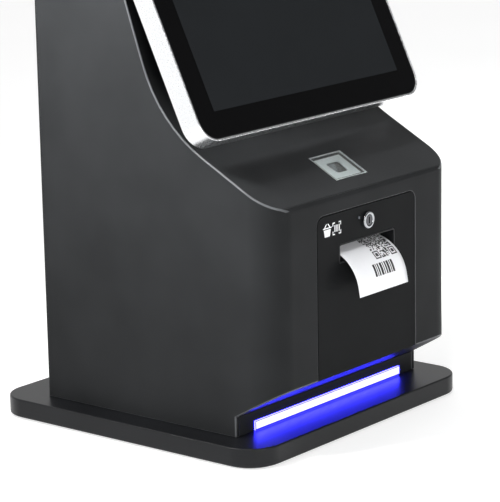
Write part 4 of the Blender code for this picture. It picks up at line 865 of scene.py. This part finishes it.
class KIOSK_OT_receipt(bpy.types.Operator):
    """Receipt mouth and the issued receipt with its printing"""

    bl_idname = "kiosk.receipt"
    bl_label = "Receipt"

    PAPER = 0.16 * MM  # thickness; real paper is 0.06 mm
    COLUMNS = 12  # faces across the paper
    INK = 0.04 * MM
    CODE_CELLS = 27
    CODE_SEED = 7
    CODE_X, CODE_START = 2.0 * MM, 31 * MM  # its left side, and its lower end along the paper
    BARS_X, BARS_START, BARS_END = -9.5 * MM, 14.5 * MM, 27 * MM
    BARS = ((3.0, 1.2), (1.3, 1.4), (2.2, 1.6), (3.4, 1.3), (1.3, 1.8), (2.2, 1.2), (3.2, 1.3),
            (1.4, 1.2), (3.0, 1.2))  # each bar and the gap after it, in mm
    PATCH = 1.5 * MM  # longest face of the ink along the paper

    def execute(self, context):
        finished("receipt_bezel", black_abs(), details().mould_edge)
        rows = self.refined(paper_line())
        low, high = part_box("receipt")
        columns = [low.x + (high.x - low.x) * i / self.COLUMNS for i in range(self.COLUMNS + 1)]
        shape = bmesh.new()
        loops = [[shape.verts.new((x, row.x, row.y)) for x in columns] for row in rows]
        for first, second in zip(loops, loops[1:]):
            for i in range(self.COLUMNS):
                shape.faces.new((first[i], first[i + 1], second[i + 1], second[i]))
        mesh = to_mesh(shape, "receipt_paper")
        piece = link("receipt_paper", mesh, receipt_stock(), "printer_door")
        thick = piece.modifiers.new("paper_thickness", "SOLIDIFY")
        thick.thickness = self.PAPER
        thick.offset = 0
        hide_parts("receipt")
        self.printing(rows)
        return {"FINISHED"}

    def refined(self, line):
        """The line with three more points in each step, on a smooth curve."""
        points = []
        last = len(line) - 1
        for i in range(last):
            before, a, b, after = line[max(i - 1, 0)], line[i], line[i + 1], line[min(i + 2, last)]
            for step in range(4):
                t = step / 4
                points.append(0.5 * (2 * a + (b - before) * t
                                     + (2 * before - 5 * a + 4 * b - after) * t * t
                                     + (3 * a - before - 3 * b + after) * t ** 3))
        return points + [line[-1]]

    def printing(self, rows):
        """A square code and a bar code, as ink just proud of the paper."""
        shape = bmesh.new()
        lift = self.PAPER / 2 + details().film

        def patch(x0, x1, s0, s1):
            steps = max(1, math.ceil((s1 - s0) / self.PATCH))
            edge = []
            for k in range(steps + 1):
                point, normal = along_line(rows, s0 + (s1 - s0) * k / steps)
                y, z = point + normal * lift * (1 if normal.y > 0 or normal.x < 0 else -1)
                edge.append((shape.verts.new((x0, y, z)), shape.verts.new((x1, y, z))))
            for (a, b), (c, d) in zip(edge, edge[1:]):
                shape.faces.new((a, b, d, c))

        cell = details().code_cell
        for row, column in code_squares(self.CODE_CELLS, self.CODE_SEED):
            x, s = self.CODE_X + column * cell, self.CODE_START + row * cell
            patch(x, x + cell, s, s + cell)
        x = self.BARS_X
        for width, gap in self.BARS:
            patch(x, x + width * MM, self.BARS_START, self.BARS_END)
            x += (width + gap) * MM
        bmesh.ops.recalc_face_normals(shape, faces=shape.faces)
        mesh = to_mesh(shape, "receipt_print")
        black = printed_ink("developed_thermal_ink", linear("#16171a"), 0.5)
        piece = link("receipt_print", mesh, black, "printer_door")
        thick = piece.modifiers.new("ink_thickness", "SOLIDIFY")
        thick.thickness = self.INK


class KIOSK_OT_printer(bpy.types.Operator):
    """Works of the receipt printer on the back of its door"""

    bl_idname = "kiosk.printer"
    bl_label = "Receipt printer"

    def execute(self, context):
        finished("printer_chassis", plated_steel())
        for node in ("cutter_blade", "lid_rod", "platen_shaft"):
            paint(node, plated_steel())
        finished("feed_motor", plated_steel())
        for node in ("paper_bucket", "paper_lid", "head_cover"):
            finished(node, black_abs(), details().mould_edge)
        finished("feed_button", moulded_abs("moulded_green_abs", linear("#2f8a52"), 0.3))
        grey = anodised_aluminium("grey_anodised_aluminium", linear("#7d8083"), 0.35)
        finished("print_head", grey)
        finished("cutter_frame", grey)
        finished("paper_roll", wound_paper("wound_thermal_paper", tuple(looks().paper)))
        paint("paper_web", receipt_stock())
        paint("paper_core", wound_board("spiral_wound_board", linear("#8b7a66")))
        paint("platen_roller", nitrile_rubber())
        for node in ("platen_gear", "idler_gear", "motor_pinion"):
            paint(node, natural_acetal("moulded_acetal", linear("#ddd9cc")))
        finished("printer_board", green_board())
        return {"FINISHED"}


class KIOSK_OT_scanner(bpy.types.Operator):
    """Scanner window, plate and module in the shelf"""

    bl_idname = "kiosk.scanner"
    bl_label = "Scanner"

    WIDE, TALL = 12.4 * MM, 9.4 * MM  # half sizes of what shows through the plate's opening
    SLANT = -0.55, 0.45  # where the mirror ends at the bottom and the top, as shares of WIDE
    OPTICS_GAP = 0.22 * MM  # below the plate
    OPTICS = 0.05 * MM  # thickness
    FIELD = 20.5 * MM, 15.5 * MM  # half sizes of the clear field
    MARGIN = 0.1 * MM  # inside the glass's edge
    MASK_GAP, MASK = 0.28 * MM, 0.06 * MM  # below the glass, and thickness
    GROUND = 0.55 * MM  # width of the pale band round the glass's edge, a painted highlight
    GROUND_LIFT, GROUND_DEPTH = 0.01 * MM, 0.04 * MM  # above the glass, and thickness

    def execute(self, context):
        finished("scanner_window", float_glass("polished_float_glass", linear("#f2f7f6")))
        finished("scanner_bezel", powder_coat("satin_grey_plate", linear("#dcdfe1"), 0.35))
        finished("scanner_module", black_abs())
        self.mask()
        self.optics()
        return {"FINISHED"}

    def optics(self):
        """Behind the plate's opening: a dark reading window, half of it under a pale mirror."""
        normal, up, (bottom, _), (low, high) = plane_of(
            "scanner_bezel", lambda face: face.area if face.normal.z > 0.5 else 0)
        middle = up * (low + high) / 2
        place = facing(normal * (bottom - self.OPTICS_GAP) + middle, ACROSS, up)
        wide, tall = self.WIDE, self.TALL
        foot, head = self.SLANT[0] * wide, self.SLANT[1] * wide

        def plate(name, outline, material):
            plates(name, [outline], self.OPTICS, place, material, "cabinet")

        window = moulded_abs("smoked_reading_window", linear("#040405"), 0.2)
        outline = [(wide, -tall), (wide, tall), (head, tall), (foot, -tall)]
        plate("scanner_reading_window", outline, window)
        mirror = chrome_plate("silvered_mirror_backing", linear("#7d8184"))
        outline = [(-wide, -tall), (foot, -tall), (head, tall), (-wide, tall)]
        plate("scanner_mirror", outline, mirror)

    def mask(self):
        """Black film round the plate's clear field, and a painted highlight above it: a pale band
        round the glass's edge.
        """
        normal, up, (bottom, top), (low, high) = plane_of(
            "scanner_window", lambda face: face.normal.z)
        width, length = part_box("scanner_window")[1].x * 2, high - low

        def border(name, outer, inner, level, thickness, material):
            (w0, l0), (w1, l1) = outer, inner
            strips = [bar(-w0, -l0, w0, -l1), bar(-w0, l1, w0, l0)]
            strips += [bar(-w0, -l1, -w1, l1), bar(w1, -l1, w0, l1)]
            place = facing(normal * level + up * (low + high) / 2, ACROSS, up)
            plates(name, strips, thickness, place, material, "cabinet")

        half = width / 2 - self.MARGIN, length / 2 - self.MARGIN
        film = printed_ink("black_masking_film", linear("#0d0d0e"), 0.35)
        level = bottom - self.MASK_GAP
        border("scanner_mask", half, self.FIELD, level, self.MASK, film)
        # a pale band on all four edges of the glass, a painted highlight where its edges catch the
        # light
        edge_highlight = printed_ink("ground_glass_edge", linear("#c9cfd0"), 0.3)
        rim = half[0] - self.GROUND, half[1] - self.GROUND
        level = top + self.GROUND_LIFT
        border("scanner_glass_edge", half, rim, level, self.GROUND_DEPTH, edge_highlight)


class KIOSK_OT_display(bpy.types.Operator):
    """Display with its frame, glass, panel and back cover"""

    bl_idname = "kiosk.display"
    bl_label = "Display"

    PICTURE_WIDTH = 294.4 * MM
    BORDER = 51.8 * MM  # glass above and below the picture area, together
    PICTURE_CORNER = 0.6 * MM
    PICTURE_DEPTH = 0.05 * MM

    def execute(self, context):
        metal = tuple(looks().frame)
        finished("display_frame", anodised_aluminium("satin_anodised_aluminium", metal, 0.27))
        black = tuple(looks().glass)
        finished("touch_glass", cover_glass("black_printed_cover_glass", black))
        finished("display_back_cover", coat("cabinet"))
        paint("lcd_panel", moulded_abs("black_display_module", linear("#101113"), 0.4))
        paint("display_board", green_board())
        self.picture_area()
        return {"FINISHED"}

    def picture_area(self):
        """The panel's dark picture area, seen through the glass as a paler field."""
        normal, up, (_, front), (low, high) = plane_of(
            "touch_glass", lambda face: (round(-face.normal.y, 3), face.area))
        place = facing(normal * front + up * (low + high) / 2, ACROSS, up)
        height = high - low - self.BORDER
        outline = rounded_rectangle(self.PICTURE_WIDTH, height, self.PICTURE_CORNER, count=3)
        dark = cover_glass("display_panel_under_glass", tuple(looks().panel))
        plates("display_picture_area", [outline], self.PICTURE_DEPTH, place, dark,
               "cabinet")


class KIOSK_OT_rear_door(bpy.types.Operator):
    """Service door with its hinges, lock, fan and screws"""

    bl_idname = "kiosk.rear_door"
    bl_label = "Service door"

    SCREW_REACH = 35.75 * MM  # from the fan's middle, along and up

    def execute(self, context):
        finished("rear_door", coat("cabinet"))
        finished("rear_hinge_pin_upper", plated_steel())
        finished("rear_hinge_pin_lower", plated_steel())
        chrome = chrome_plate("polished_chrome_plate", linear("#dfe1e4"))
        finished("rear_lock_barrel", chrome)
        finished("rear_lock_plug", chrome)
        finished("fan_frame", black_abs())
        finished("fan_rotor", black_abs())
        self.fan_screws()
        return {"FINISHED"}

    def fan_screws(self):
        low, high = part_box("fan_frame")
        middle, back = (low + high) / 2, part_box("rear_door")[1].y
        for i, (sx, sz) in enumerate(((-1, -1), (1, -1), (1, 1), (-1, 1))):
            x, z = middle.x + sx * self.SCREW_REACH, middle.z + sz * self.SCREW_REACH
            place = facing((x, back, z), -ACROSS, UP)
            button_head("fan_screw_%d" % (i + 1), place, "service_door")


class KIOSK_OT_power(bpy.types.Operator):
    """Mains inlet, rocker switch, power supply and computer"""

    bl_idname = "kiosk.power"
    bl_label = "Power and computer"

    def execute(self, context):
        finished("mains_inlet", black_abs())
        finished("switch_housing", black_abs())
        finished("power_rocker", moulded_abs("moulded_rocker_nylon", linear("#151515"), 0.32))
        case = anodised_aluminium("folded_aluminium_case", linear("#b4b7ba"), 0.36)
        finished("power_supply", case)
        finished("mini_computer", black_abs())
        return {"FINISHED"}


# ---- stage


class KIOSK_OT_stage(bpy.types.Operator):
    """Floor, surroundings, lights and camera"""

    bl_idname = "kiosk.stage"
    bl_label = "Stage"

    HEAD, BODY = (0, 0, 0.9), (0, 0, 0.35)  # what the lights point at
    FLOOR_RADIUS = 14
    FLOOR_GLOW = 0.62
    SENSOR = 36  # millimetres

    def execute(self, context):
        stage = context.scene.kiosk_stage
        context.scene.view_settings.view_transform = "Standard"
        self.floor()
        self.surroundings(context, stage)
        self.light("key_light", (-1.05, 0.5, 1.4), 0.5, stage.key, self.HEAD, 62)
        self.light("top_light", (0.3, 0.8, 3.0), 2.0, stage.top, self.BODY, 180)
        self.light("front_light", (-0.9, -2.4, 0.85), 1.2, stage.fill, self.BODY, 180)
        self.light("edge_light", (-1.6, -1.1, 2.1), 0.35, stage.edge, self.BODY, 60)
        self.camera(context, stage)
        return {"FINISHED"}

    def floor(self):
        """A round floor of matt white acrylic, lit a little from below to soften the shadow."""
        shape = bmesh.new()
        bmesh.ops.create_circle(shape, cap_ends=True, segments=96, radius=self.FLOOR_RADIUS)
        mesh = to_mesh(shape, "studio_floor")
        floor = bpy.data.objects.new("studio_floor", mesh)
        bpy.context.scene.collection.objects.link(floor)
        values = {"Roughness": 0.9, "Specular IOR Level": 0.1, "Emission Color": (1, 1, 1, 1),
                  "Emission Strength": self.FLOOR_GLOW}
        material, tree, shader = new_material("matt_white_floor_acrylic", values)
        cloud = speckle(tree, 400 * MM, 2.0)
        tint(shader, cloud, linear("#c2c2c2"), linear("#c5c5c5"))
        mesh.materials.append(material)

    def surroundings(self, context, stage):
        """White where it is seen; as a light, bright behind the kiosk and dimmer before it."""
        world = bpy.data.worlds.new("studio")
        context.scene.world = world
        world.use_nodes = True
        tree = world.node_tree
        tree.nodes.clear()
        direction = add(tree, "TexCoord").outputs["Generated"]
        y = add(tree, "SeparateXYZ", {"Vector": direction}).outputs["Y"]
        inputs = {"Value": y, "From Min": -0.5, "From Max": 0.4,
                  "To Min": stage.front, "To Max": stage.sky}
        level = add(tree, "MapRange", inputs, interpolation_type="SMOOTHSTEP").outputs["Result"]
        white = (1, 1, 1, 1)
        lighting = add(tree, "Background", {"Color": white, "Strength": level})
        seen = add(tree, "Background", {"Color": white, "Strength": 1.0})
        ray = add(tree, "LightPath").outputs["Is Camera Ray"]
        mixed = add(tree, "MixShader", {"Fac": ray})
        tree.links.new(lighting.outputs["Background"], mixed.inputs[1])
        tree.links.new(seen.outputs["Background"], mixed.inputs[2])
        add(tree, "OutputWorld", {"Surface": mixed.outputs["Shader"]})

    def light(self, name, place, size, power, towards, spread):
        """A round soft light, turned to a point; its spread is in degrees."""
        data = bpy.data.lights.new(name, "AREA")
        data.shape = "DISK"
        data.size = size
        data.energy = power
        data.spread = math.radians(spread)
        lamp = bpy.data.objects.new(name, data)
        bpy.context.scene.collection.objects.link(lamp)
        lamp.location = place
        lamp.visible_camera = False
        aim = Vector(towards) - Vector(place)
        lamp.rotation_euler = aim.to_track_quat("-Z", "Y").to_euler()

    def camera(self, context, stage):
        yaw, pitch, roll = stage.yaw, stage.pitch, stage.roll
        level = Vector((math.sin(yaw), math.cos(yaw), 0))
        ahead = level * math.cos(pitch) - UP * math.sin(pitch)
        right = Vector((math.cos(yaw), -math.sin(yaw), 0))
        up = right.cross(ahead)
        x = right * math.cos(roll) + up * math.sin(roll)
        y = up * math.cos(roll) - right * math.sin(roll)
        data = bpy.data.cameras.new("camera")
        data.lens = stage.lens
        data.sensor_width = self.SENSOR
        camera = bpy.data.objects.new("camera", data)
        context.scene.collection.objects.link(camera)
        camera.matrix_world = facing(stage.place, x, y)
        context.scene.camera = camera


# ---- panel


PIECES = (
    KIOSK_OT_base, KIOSK_OT_cabinet, KIOSK_OT_light_bar, KIOSK_OT_printer_door, KIOSK_OT_lock,
    KIOSK_OT_receipt, KIOSK_OT_printer, KIOSK_OT_scanner, KIOSK_OT_display, KIOSK_OT_rear_door,
    KIOSK_OT_power, KIOSK_OT_stage,
)


class KIOSK_PT_sidebar(bpy.types.Panel):
    """Lists the kiosk's pieces and settings"""

    bl_idname = "KIOSK_PT_sidebar"
    bl_label = "Self Checkout Kiosk"
    bl_space_type = "VIEW_3D"
    bl_region_type = "UI"
    bl_category = "Kiosk"

    def draw(self, context):
        column = self.layout.column()
        for piece in PIECES:
            column.operator(piece.bl_idname)
        scene = context.scene
        for group in (scene.kiosk_finishes, scene.kiosk_sizes, scene.kiosk_stage):
            column.separator()
            for key in group.__annotations__:
                column.prop(group, key)


CLASSES = (KioskFinishes, KioskSizes, KioskStage, *PIECES, KIOSK_PT_sidebar)


def register():
    for cls in CLASSES:
        bpy.utils.register_class(cls)
    bpy.types.Scene.kiosk_finishes = PointerProperty(type=KioskFinishes)
    bpy.types.Scene.kiosk_sizes = PointerProperty(type=KioskSizes)
    bpy.types.Scene.kiosk_stage = PointerProperty(type=KioskStage)


def unregister():
    del bpy.types.Scene.kiosk_stage
    del bpy.types.Scene.kiosk_sizes
    del bpy.types.Scene.kiosk_finishes
    for cls in reversed(CLASSES):
        bpy.utils.unregister_class(cls)


def main():
    register()
    for piece in PIECES:
        family, name = piece.bl_idname.split(".")
        getattr(getattr(bpy.ops, family), name)()


if __name__ == "__main__":
    main()
